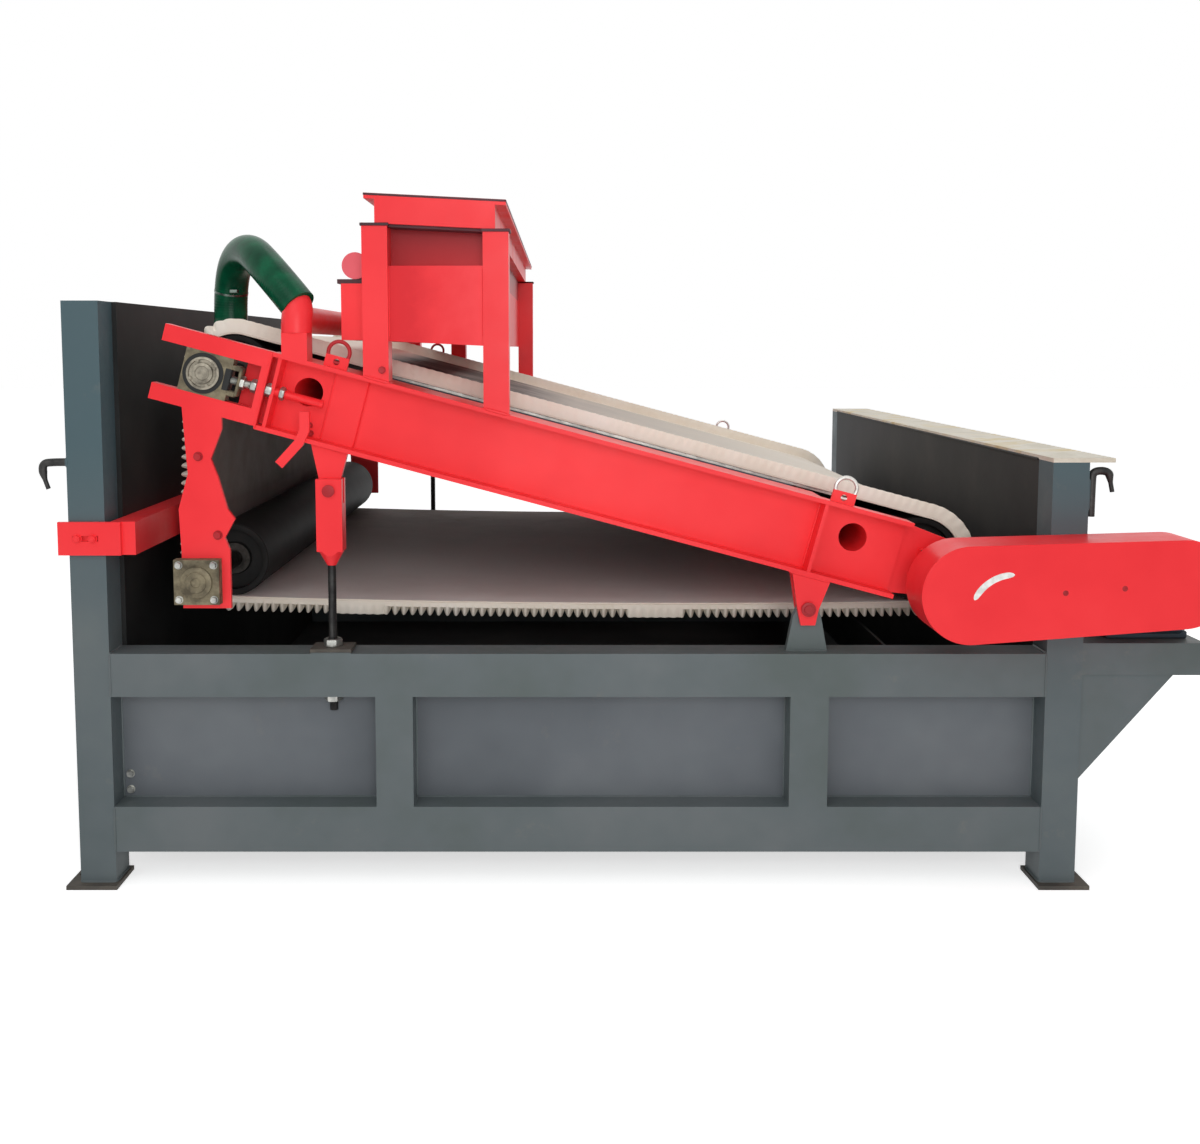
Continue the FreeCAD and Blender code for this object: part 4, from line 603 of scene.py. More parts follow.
SLOT_CENTRE, SLOT_RADIUS, SLOT_WIDE = (1.148, 0.803), 0.114, 0.017
turn = np.radians(np.linspace(90.0, 156.0, 30))
width = SLOT_WIDE / 2 * np.sqrt(np.clip(1.0 - (np.abs(np.linspace(-1, 1, 30)) ** 6), 0.02, 1.0))
slot_rows = []
for side, out in ((-1, 0.0005), (-1, -0.0006), (1, -0.0006), (1, 0.0005)):
    reach = SLOT_RADIUS + side * width
    slot_rows.append(np.stack([SLOT_CENTRE[0] + reach * np.cos(turn), np.full(30, GUARD_FACE + out),
                               SLOT_CENTRE[1] + reach * np.sin(turn)], -1))
piece("guard_groove_highlight", [(np.stack(slot_rows), [grid_faces(4, 30, wrap_rows=True),
                                                   [[0, 30, 60, 90]], [[29, 59, 89, 119]]])],
      pale, "base")
guard_screws = [turned([(0.0, 0.0), (0.0075, 0.0), (0.0065, -0.0006), (0.003, -0.0009), (0.002, -0.0002),
                        (0.0, -0.0002)], (x, GUARD_FACE, z), segments=20)
                for x, z in ((1.284, 0.868), (1.440, 0.880))]
piece("guard_screws", guard_screws, dark_shaded_red, "base")


# Scraper bar across the tank
# Red box section on slotted plates, with a black rubber lip that cleans the belt's vertical run.
wear(red_enamel, "scraper_bar", "scraper_brackets")
black_rubber_material, tree, where = new_material("black_moulded_rubber")
skin = add_node(tree, "ShaderNodeTexNoise", {"Vector": where, "Scale": 420.0, "Detail": 3.0})
blot = add_node(tree, "ShaderNodeTexNoise", {"Vector": where, "Scale": 14.0, "Detail": 6.0})
tone = add_node(tree, "ShaderNodeValToRGB", {"Fac": blot.outputs["Fac"]},
                [(0.35, linear("#0D0D0D")), (0.7, linear("#1C1B1A"))])
bump = add_node(tree, "ShaderNodeBump", {"Height": skin.outputs["Fac"], "Strength": 0.25, "Distance": 0.0004})
black_rubber = set_surface(black_rubber_material, tree, add_node(tree, "ShaderNodeBsdfPrincipled", {
    "Base Color": tone.outputs["Color"], "Roughness": 0.6, "Specular IOR Level": 0.2,
    "Normal": bump.outputs["Normal"]}))

bracket_low, bracket_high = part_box("scraper_brackets")
SCRAPER_Z = (bracket_low.z + bracket_high.z) / 2
scraper_bolts = []
for x in (-0.022, 0.020):
    scraper_bolts.append(hex_bolt((post_low.x + POST_WIDE / 2 + x, bracket_low.y + 0.001, SCRAPER_Z), (0, -1, 0),
                                  0.019, 0.009, 0.026, stud=0.002))
piece("scraper_bolts", both_sides(scraper_bolts), red_enamel, "base")


# Deck beams, tubes, ribs, lugs and arms
# Rolled channels and cut plate in gloss red enamel; the welds show through the paint.
wear(red_enamel, "back_beam", "front_beam", "cross_tubes", "beam_ribs", "deck_crossbars", "hinge_lugs",
     "jack_lugs", "roller_arms", "take_up_guides", "drum_end_plates", "hopper_legs", "hopper_frame", "hopper_box",
     "feed_box", "wash_posts", "ring_lugs", "lever_bars", "jack_clevises")
SLOPE = math.radians(15.0)
PIN = np.array((0.640, 0.0, 0.789))
DECK_TOP, BEAM_TALL, FLANGE = 0.307, 0.218, 0.012
BEAM_Y, WEB_Y = -1.335, -1.265
BEAM_END = -1.6067


def on_deck(points):
    """Points given along, across and square to the deck, turned down the slope at the hinge pin."""
    points = np.asarray(points, float)
    along, across, up = points[..., 0], points[..., 1], points[..., 2]
    return np.stack([PIN[0] + along * math.cos(SLOPE) + up * math.sin(SLOPE), across,
                     PIN[2] - along * math.sin(SLOPE) + up * math.cos(SLOPE)], -1)


def deck_weld(start, end, size=0.007):
    """A weld bead between two places on the deck."""
    return weld_bead(on_deck(start), on_deck(end), size)


flange_top, flange_low = DECK_TOP - FLANGE, DECK_TOP - BEAM_TALL + FLANGE
deck_welds = []
for along, thick in ((BEAM_END + 0.023, 0.010), (-0.028, 0.010)):
    for side in (-thick / 2, thick / 2):
        deck_welds.append(deck_weld((along + side, WEB_Y, flange_low), (along + side, WEB_Y, flange_top)))
for along in (BEAM_END + 0.218 - 0.045, BEAM_END + 0.218 + 0.045):
    deck_welds.append(deck_weld((along, WEB_Y - 0.004, flange_low), (along, WEB_Y - 0.004, flange_top), 0.009))
deck_welds.append(deck_weld((BEAM_END, BEAM_Y, DECK_TOP - BEAM_TALL), (BEAM_END, BEAM_Y, DECK_TOP), 0.006))
for x, half in ((0.640, 0.060), (-0.687, 0.0505)):
    along = (x - PIN[0] - (DECK_TOP - BEAM_TALL) * math.sin(SLOPE)) / math.cos(SLOPE)
    for y in ((-1.332, -1.278) if x > 0 else (-1.315, -1.295)):
        deck_welds.append(deck_weld((along - half, y, DECK_TOP - BEAM_TALL), (along + half, y, DECK_TOP - BEAM_TALL),
                                    0.008))
piece("deck_welds", both_sides(deck_welds), red_enamel, "deck")
STRIP_WIDE, STRIP_THICK = 0.130, 0.003
points, faces = chamfered((BEAM_END + 0.030, WEB_Y, DECK_TOP - STRIP_THICK),
                          (-0.034, WEB_Y + STRIP_WIDE, DECK_TOP - 0.0002), 0.0005)
piece("deck_edge_strips", both_sides([(on_deck(points), faces)]), red_enamel, "deck")


# Slider bed and magnet box
# Stainless sheet bed under the belt, over a closed box that holds the magnets.
wear(metal("rubbed_stainless", ("#8F8F8B", "#B5B4AE"), 0.35), "slider_bed")
wear(motor_enamel, "magnet_box")


# Screw jacks
# Turned clevises with plated nuts on dark M24 threaded rods that stand on the top rails.
def threaded(radius, pitch, length, centre, axis="z", segments=20):
    """A screw thread: the radius follows a triangle wave of the height less the turn's share of the pitch."""
    count = int(length / pitch * 4) + 1
    height = np.linspace(0.0, length, count)
    angle = np.linspace(0.0, 2 * math.pi, segments + 1)[:-1]
    phase = (height[:, None] / pitch - angle[None] / (2 * math.pi)) % 1.0
    depth = pitch * 0.55 * np.abs(2 * phase - 1.0)
    reach = radius - depth
    reach[0] = reach[-1] = radius * 0.86
    rim = np.concatenate([np.zeros((1, segments)), reach, np.zeros((1, segments))])
    tall = np.concatenate([[0.0], height, [length]])
    across, up = rim * np.cos(angle), rim * np.sin(angle)
    straight = np.repeat(tall[:, None], segments, 1)
    order = {"z": (across, up, straight), "x": (straight, across, up)}[axis]
    return np.stack(order, -1) + np.array(centre, float), [grid_faces(count + 2, segments, wrap_cols=True)]


JACK_X, JACK_Y, JACK_Z = -0.687, -1.305, 1.120
ROD_DIA, ROD_LOW = 0.024, 0.496
rod_top = JACK_Z - 0.170 - 0.041
jack_threads = [threaded(ROD_DIA / 2, 0.003, rod_top - ROD_LOW, (JACK_X, JACK_Y, ROD_LOW))]
rods = piece("threaded_jack_rods", both_sides(jack_threads), dark_steel, "jacks", 60.0)
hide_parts("jack_rods")


def nut(start, axis, across=0.036, tall=0.019, bore=0.0121, turn=0.0):
    """A hexagon ring: outside and bore as one closed profile whose outer corners are cut by a cone."""
    axis = np.array(axis, float) / np.linalg.norm(axis)
    side = np.cross(axis, (0.0, 1.0, 0.0) if abs(axis[1]) < 0.9 else (1.0, 0.0, 0.0))
    side /= np.linalg.norm(side)
    over = np.cross(axis, side)
    angle = np.linspace(0.0, 2 * math.pi, 25)[:-1]
    hexagon = across / 2 / np.cos((angle + turn) % (math.pi / 3) - math.pi / 6)
    cone = np.minimum(hexagon, across * 0.53)
    full = np.full(24, 1.0)
    rings = [(full * bore, 0.0), (full * across * 0.46, 0.0), (cone, 0.0015), (hexagon, 0.004), (hexagon, tall - 0.004),
             (cone, tall - 0.0015), (full * across * 0.46, tall), (full * bore, tall)]
    circle = np.cos(angle)[:, None] * side + np.sin(angle)[:, None] * over
    points = [np.array(start, float) + radius[:, None] * circle + height * axis for radius, height in rings]
    return np.stack(points), [grid_faces(8, 24, True, True)]


seats = [chamfered((JACK_X - 0.058, JACK_Y - 0.042, RAIL_TOP), (JACK_X + 0.058, JACK_Y + 0.042, RAIL_TOP + 0.012),
                   0.0015)]
jack_seats = piece("jack_seats", both_sides(seats), foot_enamel, "base")
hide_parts("jack_nuts")
seat_nuts = [nut((JACK_X, JACK_Y, RAIL_TOP + 0.012), (0, 0, 1), 0.046, 0.022, 0.0155),
             nut((JACK_X, JACK_Y, rail_low.z - 0.022), (0, 0, 1), 0.046, 0.022, 0.0155)]
piece("jack_seat_nuts", both_sides(seat_nuts), zinc, "base")
jack_pins = []
for y, way in ((JACK_Y - 0.029 - 0.006, -1), (JACK_Y + 0.029 + 0.006, 1)):
    jack_pins.append(turned([(0.0, 0.0), (0.017, 0.0), (0.017, 0.003 * way), (0.012, 0.0045 * way),
                             (0.0, 0.0045 * way)], (JACK_X, y, JACK_Z), segments=32))
piece("jack_pin_washers", both_sides(jack_pins), dark_shaded_red, "jacks")


# Hinge pins
# 30 mm pins in the pedestal ears, each end under a washer.
hinge_caps = []
for y, way in ((-1.305 - 0.033, -1), (-1.305 + 0.033, 1)):
    hinge_caps.append(turned([(0.0, 0.0), (0.020, 0.0), (0.020, 0.003 * way), (0.013, 0.004 * way),
                              (0.012, 0.007 * way), (0.0, 0.007 * way)], (PIN[0], y, PIN[2]), segments=32))
piece("hinge_pin_washers", both_sides(hinge_caps), dark_shaded_red, "base")
pedestal_low, pedestal_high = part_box("hinge_pedestals")
pedestal_welds = []
for side in (-0.012, 0.012):
    pedestal_welds.append(weld_bead((0.640 - 0.0575, -1.305 + side, RAIL_TOP), (0.640 + 0.0575, -1.305 + side,
                                                                               RAIL_TOP), 0.008))
for side in (-0.042, 0.042):
    pedestal_welds.append(weld_bead((JACK_X - 0.058, JACK_Y + side, RAIL_TOP), (JACK_X + 0.058, JACK_Y + side,
                                                                               RAIL_TOP), 0.006))
piece("pedestal_welds", both_sides(pedestal_welds), frame_enamel, "base")


# Belt
# Cream food-grade rubber outside, pinkish grey woven fabric inside; one loop over the three rollers.
TAKE = np.array((-1.024, 0.0, 1.443476))
RETURN = np.array((-1.048, 0.0, 0.870476))
ROLLER_DIA, DRUM_DIA = 0.220, 0.256
BELT_HALF, BELT_THICK, BELT_GAP, BELT_SAG = 1.016, 0.006, 0.0005, 0.012


def belt_line():
    """The belt's inner line, clockwise from the take-up roller: points, outward normals and length so far.
    Each roller gives an arc of its radius plus the gap, each run its tangent; the return run sags."""
    rounds = [(TAKE, ROLLER_DIA / 2), (DRUM, DRUM_DIA / 2), (RETURN, ROLLER_DIA / 2)]
    touch = []
    for index, (centre, radius) in enumerate(rounds):
        after, after_radius = rounds[(index + 1) % 3]
        step = after - centre
        touch.append(math.atan2(step[2], step[0]) + math.acos((radius - after_radius) / np.linalg.norm(step)))
    points, normals = [], []
    for index, (centre, radius) in enumerate(rounds):
        before = touch[index - 1]
        turn = (before - touch[index]) % (2 * math.pi)
        angle = before - np.linspace(0.0, turn, 60)[:-1]
        arc = np.stack([np.cos(angle), angle * 0, np.sin(angle)], -1)
        points.append(centre + (radius + BELT_GAP) * arc)
        normals.append(arc)
        after, after_radius = rounds[(index + 1) % 3]
        way = np.array([math.cos(touch[index]), 0.0, math.sin(touch[index])])
        start, end = centre + (radius + BELT_GAP) * way, after + (after_radius + BELT_GAP) * way
        share = np.linspace(0.0, 1.0, 90)[:-1, None]
        run = start + share * (end - start)
        if index == 1:
            run = run + way * BELT_SAG * 4 * share * (1 - share)
        points.append(run)
        normals.append(np.repeat(way[None], len(run), 0))
    points, normals = np.concatenate(points), np.concatenate(normals)
    points, normals = np.vstack([points, points[:1]]), np.vstack([normals, normals[:1]])
    length = np.concatenate([[0.0], np.cumsum(np.linalg.norm(np.diff(points, axis=0), axis=1))])
    return points, normals, length


line_points, line_normals, line_length = belt_line()
LOOP = line_length[-1]


def along_belt(run, out):
    """The place at a length round the loop, moved out from the inner line."""
    run = run % LOOP
    base = np.stack([np.interp(run, line_length, line_points[:, k]) for k in range(3)], -1)
    normal = np.stack([np.interp(run, line_length, line_normals[:, k]) for k in range(3)], -1)
    normal /= np.linalg.norm(normal, axis=-1, keepdims=True)
    return base + np.asarray(out)[..., None] * normal


def belt_rubber(name, tones, weave_mm, weave, grime):
    """Calendered rubber: soft blots of tone, grey grime, and the imprint of the wrapping cloth as cross waves."""
    material, tree, where = new_material(name)
    blot = add_node(tree, "ShaderNodeTexNoise", {"Vector": where, "Scale": 4.0, "Detail": 7.0, "Roughness": 0.6})
    tone = add_node(tree, "ShaderNodeValToRGB", {"Fac": blot.outputs["Fac"]},
                    [(0.30, linear(tones[0])), (0.50, linear(tones[1])), (0.70, linear(tones[2]))])
    spots = add_node(tree, "ShaderNodeTexNoise", {"Vector": where, "Scale": 22.0, "Detail": 9.0, "Roughness": 0.72})
    cover = add_node(tree, "ShaderNodeValToRGB", {"Fac": spots.outputs["Fac"]},
                     [(0.60, (0.0, 0.0, 0.0, 1.0)), (0.78, (0.35, 0.35, 0.35, 1.0))])
    mixed = add_node(tree, "ShaderNodeMix", {0: cover.outputs["Color"], 6: tone.outputs["Color"], 7: linear(grime)},
                     data_type="RGBA")
    scale = 1000.0 / weave_mm / 6.28
    waves = [add_node(tree, "ShaderNodeTexWave", {"Vector": where, "Scale": scale}, bands_direction=way)
             for way in ("X", "Y")]
    cloth = add_node(tree, "ShaderNodeMath", {0: waves[0].outputs["Fac"], 1: waves[1].outputs["Fac"]},
                     operation="MAXIMUM")
    bump = add_node(tree, "ShaderNodeBump", {"Height": cloth.outputs[0], "Strength": weave, "Distance": 0.0005})
    rubber = add_node(tree, "ShaderNodeBsdfPrincipled", {
        "Base Color": mixed.outputs[2], "Roughness": 0.58, "Specular IOR Level": 0.3, "Normal": bump.outputs["Normal"]})
    return set_surface(material, tree, rubber)


cream_rubber = belt_rubber("cream_belt_rubber", ("#EDE3D2", "#F4EBDD", "#F8F1E6"), 3.0, 0.12, "#CDBFAC")


def inner_fabric():
    """Pale woven fabric under a brown tone of painted shade: light at the front edge, darker towards the back and on
    the steep left run, where the deck shades it.
    """
    material, tree, where = new_material("belt_inner_fabric")
    place = add_node(tree, "ShaderNodeSeparateXYZ", {"Vector": where})
    # Painted shade: the fabric darkens with depth under the deck and high on the steep run.
    deep = add_node(tree, "ShaderNodeMapRange", {
        "Value": place.outputs["Y"], "From Min": -0.95, "From Max": 0.7, "To Max": 0.75})
    steep = add_node(tree, "ShaderNodeMapRange", {
        "Value": place.outputs["Z"], "From Min": 0.86, "From Max": 1.0, "To Max": 0.80})
    dust_and_shade_film = add_node(tree, "ShaderNodeMath", {0: deep.outputs[0], 1: steep.outputs[0]}, operation="MAXIMUM")
    blot = add_node(tree, "ShaderNodeTexNoise", {"Vector": where, "Scale": 3.0, "Detail": 8.0, "Roughness": 0.65})
    patchy = add_node(tree, "ShaderNodeMapRange", {
        "Value": blot.outputs["Fac"], "From Min": 0.3, "From Max": 0.7, "To Min": 0.8, "To Max": 1.15})
    share = add_node(tree, "ShaderNodeMath", {0: dust_and_shade_film.outputs[0], 1: patchy.outputs[0]}, operation="MULTIPLY")
    tone = add_node(tree, "ShaderNodeValToRGB", {"Fac": blot.outputs["Fac"]},
                    [(0.3, linear("#E6E0DB")), (0.7, linear("#F4F0EC"))])
    mixed = add_node(tree, "ShaderNodeMix", {0: share.outputs[0], 6: tone.outputs["Color"], 7: linear("#54493B")},
                     data_type="RGBA")
    waves = [add_node(tree, "ShaderNodeTexWave", {"Vector": where, "Scale": 1000.0 / 2.5 / 6.28}, bands_direction=way)
             for way in ("X", "Y")]
    cloth = add_node(tree, "ShaderNodeMath", {0: waves[0].outputs["Fac"], 1: waves[1].outputs["Fac"]},
                     operation="MAXIMUM")
    bump = add_node(tree, "ShaderNodeBump", {"Height": cloth.outputs[0], "Strength": 0.3, "Distance": 0.0005})
    fabric = add_node(tree, "ShaderNodeBsdfPrincipled", {
        "Base Color": mixed.outputs[2], "Roughness": 0.7, "Specular IOR Level": 0.2,
        "Normal": bump.outputs["Normal"]})
    return set_surface(material, tree, fabric)




def carrying_face():
    """The cream rubber darkened by ore dust and by painted shade, darkest below the hopper and thinning down the slope.
    """
    material, tree, where = new_material("dust_and_shade_carrying_face")
    place = add_node(tree, "ShaderNodeSeparateXYZ", {"Vector": where})
    run = add_node(tree, "ShaderNodeMapRange", {"Value": place.outputs["X"], "From Min": -0.80, "From Max": 1.05})
    # Ore dust and painted shade together: darkest where the hopper shades the belt, fading down the slope.
    dust_and_shade_film = add_node(tree, "ShaderNodeValToRGB", {"Fac": run.outputs[0]},
                    [(0.02, (0.0, 0.0, 0.0, 1.0)), (0.08, (0.95, 0.95, 0.95, 1.0)), (0.32, (0.93, 0.93, 0.93, 1.0)),
                     (0.44, (0.50, 0.50, 0.50, 1.0)), (0.75, (0.30, 0.30, 0.30, 1.0)), (0.98, (0.04, 0.04, 0.04, 1.0))])
    across = add_node(tree, "ShaderNodeMath", {0: place.outputs["Y"]}, operation="ABSOLUTE")
    inside = add_node(tree, "ShaderNodeMapRange", {
        "Value": across.outputs[0], "From Min": 0.93, "From Max": 0.985, "To Min": 1.0, "To Max": 0.0})
    upper = add_node(tree, "ShaderNodeMapRange", {"Value": place.outputs["Z"], "From Min": 0.93, "From Max": 0.97})
    blot = add_node(tree, "ShaderNodeTexNoise", {"Vector": where, "Scale": 3.5, "Detail": 9.0, "Roughness": 0.68})
    patchy = add_node(tree, "ShaderNodeMapRange", {
        "Value": blot.outputs["Fac"], "From Min": 0.3, "From Max": 0.62, "To Min": 0.72, "To Max": 1.12})
    share = dust_and_shade_film.outputs["Color"]
    for factor in (inside, upper, patchy):
        share = add_node(tree, "ShaderNodeMath", {0: share, 1: factor.outputs[0]}, operation="MULTIPLY").outputs[0]
    share = add_node(tree, "ShaderNodeMath", {0: share, 1: 0.96}, operation="MINIMUM").outputs[0]
    cream = add_node(tree, "ShaderNodeValToRGB", {"Fac": blot.outputs["Fac"]},
                     [(0.3, linear("#E6DACA")), (0.7, linear("#F3EADD"))])
    mixed = add_node(tree, "ShaderNodeMix", {0: share, 6: cream.outputs["Color"], 7: linear("#3A302B")},
                     data_type="RGBA")
    grit = add_node(tree, "ShaderNodeTexNoise", {"Vector": where, "Scale": 350.0, "Detail": 2.0})
    bump = add_node(tree, "ShaderNodeBump", {"Height": grit.outputs["Fac"], "Strength": 0.25, "Distance": 0.0006})
    rubber = add_node(tree, "ShaderNodeBsdfPrincipled", {
        "Base Color": mixed.outputs[2], "Roughness": 0.62, "Normal": bump.outputs["Normal"]})
    return set_surface(material, tree, rubber)


EDGE_ROUND = 0.0015
section = [(-BELT_HALF + EDGE_ROUND, 0.0), (-BELT_HALF, EDGE_ROUND), (-BELT_HALF, BELT_THICK - EDGE_ROUND),
           (-BELT_HALF + EDGE_ROUND, BELT_THICK), (BELT_HALF - EDGE_ROUND, BELT_THICK),
           (BELT_HALF, BELT_THICK - EDGE_ROUND), (BELT_HALF, EDGE_ROUND), (BELT_HALF - EDGE_ROUND, 0.0)]
belt_runs = line_length[:-1]
belt_grid = np.stack([along_belt(belt_runs, np.full(belt_runs.shape, out)) + (0.0, y, 0.0) for y, out in section], 1)
belt_ranks = np.tile([0, 0, 0, 0, 0, 0, 0, 1], len(belt_runs))
belt = piece("belt_loop", [(belt_grid, [grid_faces(len(belt_runs), 8, True, True)])], [carrying_face(), inner_fabric()],
             "deck", 40.0, belt_ranks)
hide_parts("belt")


# Pleated sidewalls of the belt
# Soft rubber strips, 40 mm tall, vulcanised to the belt's edges: stretched smooth on the carrying run,
# they fold into a comb of pleats every 26.5 mm on the slack return run and round the take-up roller.
PLEAT, WALL_TALL, WALL_BAND, WALL_SHEET = 0.0265, 0.040, 0.030, 0.0045
PLAIN_STRETCHES = ((-0.735, -0.590), (0.160, 0.315))
SMOOTH_FROM, SMOOTH_TO = line_length[16], line_length[186]


def sidewall(name, edge, outward, node):
    """A strip, plain along its root and above that swinging across its band as a cosine of the length, taller at
    its outer crests; it runs straight on the carrying run and where the ends of two strips were joined."""
    pleats = round(LOOP / PLEAT)
    run = np.linspace(0.0, LOOP, pleats * 10 + 1)[:-1]
    base = along_belt(run, np.zeros(run.shape))
    fold = 1.0 - 0.95 * np.clip(np.minimum(run - SMOOTH_FROM, SMOOTH_TO - run) / 0.10, 0.0, 1.0)
    for start, end in PLAIN_STRETCHES:
        centre, half = (start + end) / 2, (end - start) / 2
        away = np.clip((np.abs(base[:, 0] - centre) - half) / (PLEAT / 2), 0.06, 1.0)
        fold = fold * np.where(base[:, 2] < 0.80, away, 1.0)
    swing = (WALL_BAND - WALL_SHEET) / 2 * fold
    angle = 2 * math.pi * pleats * run / LOOP
    middle = edge - outward * WALL_BAND / 2 + outward * (WALL_BAND - WALL_SHEET) / 2 * (1.0 - fold)
    across = middle + outward * swing * np.cos(angle)
    rate = -outward * swing * np.sin(angle) * 2 * math.pi * pleats / LOOP
    crest = (0.5 + 0.5 * np.cos(angle)) ** 0.6
    tall = WALL_TALL * (1.0 - 0.54 * fold * (1.0 - crest))
    plain = edge - outward * WALL_SHEET / 2
    low, turn_at = np.full(run.shape, 0.34 * WALL_TALL), np.full(run.shape, 0.42 * WALL_TALL)
    levels = (low * 0.0, low, turn_at, turn_at + 0.94 * (tall - turn_at), tall)
    rows = []
    for side, level, wave in ((-1, 0, 0.0), (-1, 1, 0.0), (-1, 2, 1.0), (-1, 3, 1.0), (-0.5, 4, 1.0), (0.5, 4, 1.0),
                              (1, 3, 1.0), (1, 2, 1.0), (1, 1, 0.0), (1, 0, 0.0)):
        shift = side * WALL_SHEET / 2
        slant = np.sqrt(1.0 + (wave * rate) ** 2)
        place = along_belt(run - shift * wave * rate / slant, BELT_THICK + levels[level])
        place[:, 1] = plain + wave * (across - plain) + shift / slant
        rows.append(place)
    wall = piece(name, [(np.stack(rows, 1), [grid_faces(len(run), 10, True, True)])], cream_rubber, "deck",
                 50.0)
    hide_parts(node)
    return wall


sidewall("pleated_front_sidewall", -BELT_HALF, -1, "front_sidewall")
sidewall("pleated_back_sidewall", BELT_HALF, 1, "back_sidewall")


# Rollers and drive drum
# Steel shells lagged with black rubber, recessed end discs and turned shafts.
def roller_shapes(centre, dia, reach_front, reach_back):
    """A spun profile: shaft, end disc set 30 mm into the shell, and a shell with rounded rims."""
    half, shaft, bore = BELT_HALF - 0.011, 0.025, dia / 2 - 0.018
    front = [(0.0, -reach_front), (shaft - 0.002, -reach_front), (shaft, -reach_front + 0.002),
             (shaft, -half + 0.022), (shaft + 0.022, -half + 0.024), (shaft + 0.026, -half + 0.034),
             (bore, -half + 0.034)]
    rim = [(bore, -half + 0.034), (bore, -half + 0.001), (bore + 0.003, -half), (dia / 2 - 0.003, -half),
           (dia / 2, -half + 0.003), (dia / 2, 0.0)]
    mirror_rim = [(radius, -along) for radius, along in reversed(rim)][1:]
    back = [(radius, min(-along, reach_back) if radius <= shaft else -along) for radius, along in reversed(front)]
    back[-1], back[-2], back[-3] = (0.0, reach_back), (shaft - 0.002, reach_back), (shaft, reach_back - 0.002)
    profile = front + rim[1:] + mirror_rim + back[1:]
    marks = [1] * 4 + [0] * (len(front) + len(rim) + len(mirror_rim) + len(back) - 11) + [1] * 4
    points, faces = turned(profile, centre, "y", 64)
    return (points, faces), np.repeat(marks, 64)


shaft_steel = metal("turned_shaft_steel", ("#2A2826", "#45423F"), 0.45)
for name, centre, dia, reach_front, reach_back in (
        ("take_up_roller", TAKE, ROLLER_DIA, 1.332, 1.332),
        ("return_roller", RETURN, ROLLER_DIA, 1.362, 1.362),
        ("drive_drum", DRUM, DRUM_DIA, 1.4235, 1.332)):
    shape, marks = roller_shapes(centre, dia, reach_front, reach_back)
    roller = piece("dressed_" + name, [shape], [black_rubber, shaft_steel], name, 30.0, marks)
    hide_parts(name)


# Take-up bearings
# Cast sliding housings with a round bearing insert, a puller slot, a grease nipple and bolts.
cast_iron = metal("as_cast_iron", ("#4E4636", "#7C725A"), 0.6, 2.2, 0.5, 0.25)
wear(cast_iron, "take_up_bearings", "return_bearings", "drum_bearings")


def bearing_insert(centre, way, radius=0.047):
    """Spun rings outwards along Y: outer ring, seal groove, inner ring and collar."""
    profile = [(0.0, 0.0), (radius, 0.0), (radius, 0.006), (radius * 0.86, 0.0075), (radius * 0.82, 0.004),
               (radius * 0.66, 0.004), (radius * 0.62, 0.010), (radius * 0.44, 0.011), (radius * 0.40, 0.0085),
               (radius * 0.2, 0.0085), (0.0, 0.0085)]
    return turned([(r, way * along) for r, along in profile], centre, "y", 48)


take_rings = [bearing_insert((TAKE[0], BEAM_Y, TAKE[2]), -1, 0.045)]
for step in range(4):
    turn = math.radians(20.0 + 90.0 * step)
    take_rings.append(hex_bolt((TAKE[0] + 0.036 * math.cos(turn), BEAM_Y - 0.0055, TAKE[2] + 0.036 * math.sin(turn)),
                               (0, -1, 0), 0.008, 0.004, 0.011))
ring_grey = metal("worn_bearing_steel", ("#5C564B", "#9A9384"), 0.45, 1.5, 0.2, 0.5)
piece("take_up_inserts", both_sides(take_rings), ring_grey, "deck")
# Painted shade: a near-black flat ring round each insert stands for the shadow in the groove there.
groove = [turned([(0.0, 0.0), (0.056, 0.0), (0.056, 0.0022), (0.0465, 0.0022), (0.0465, 0.0)],
                 (TAKE[0], BEAM_Y - 0.0021, TAKE[2]))]
piece("take_up_groove_shade", both_sides(groove), black_coat_and_shade, "deck")

TAKE_ALONG, TAKE_UP = -1.77674, 0.2015
slot_frames = []
for along, up, half_along, half_up in ((0.098, 0.0, 0.004, 0.040), (0.084, 0.036, 0.012, 0.007),
                                       (0.084, -0.036, 0.012, 0.007)):
    points, faces = chamfered((TAKE_ALONG + along - half_along, BEAM_Y + 0.001, TAKE_UP + up - half_up),
                              (TAKE_ALONG + along + half_along, BEAM_Y + 0.036, TAKE_UP + up + half_up), 0.002)
    slot_frames.append((on_deck(points), faces))
piece("puller_slot_frames", both_sides(slot_frames), cast_iron, "deck")
points, faces = chamfered((TAKE_ALONG + 0.058, BEAM_Y - 0.0008, TAKE_UP - 0.030),
                          (TAKE_ALONG + 0.0742, BEAM_Y + 0.020, TAKE_UP + 0.030), 0.0003)
piece("puller_slot_shadows", both_sides([(on_deck(points), faces)]), black_coat_and_shade, "deck")


# Tension screws
# M24 threaded rods through the guides' end plates, with a nut on each side and one on the housing.
SCREW_START, SCREW_LONG = TAKE_ALONG + 0.074, 0.260
points, faces = threaded(0.012, 0.003, SCREW_LONG, (SCREW_START, BEAM_Y + 0.020, TAKE_UP), "x")
rows_along = np.asarray(points)[:-1, 0, 0] > SCREW_START + 0.100
painted = np.tile(np.repeat(rows_along.astype(np.int32), 20), 2)
screws = piece("threaded_tension_screws", both_sides([(on_deck(points), faces)]), [zinc, red_enamel], "deck",
               60.0, painted)
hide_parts("tension_screws")

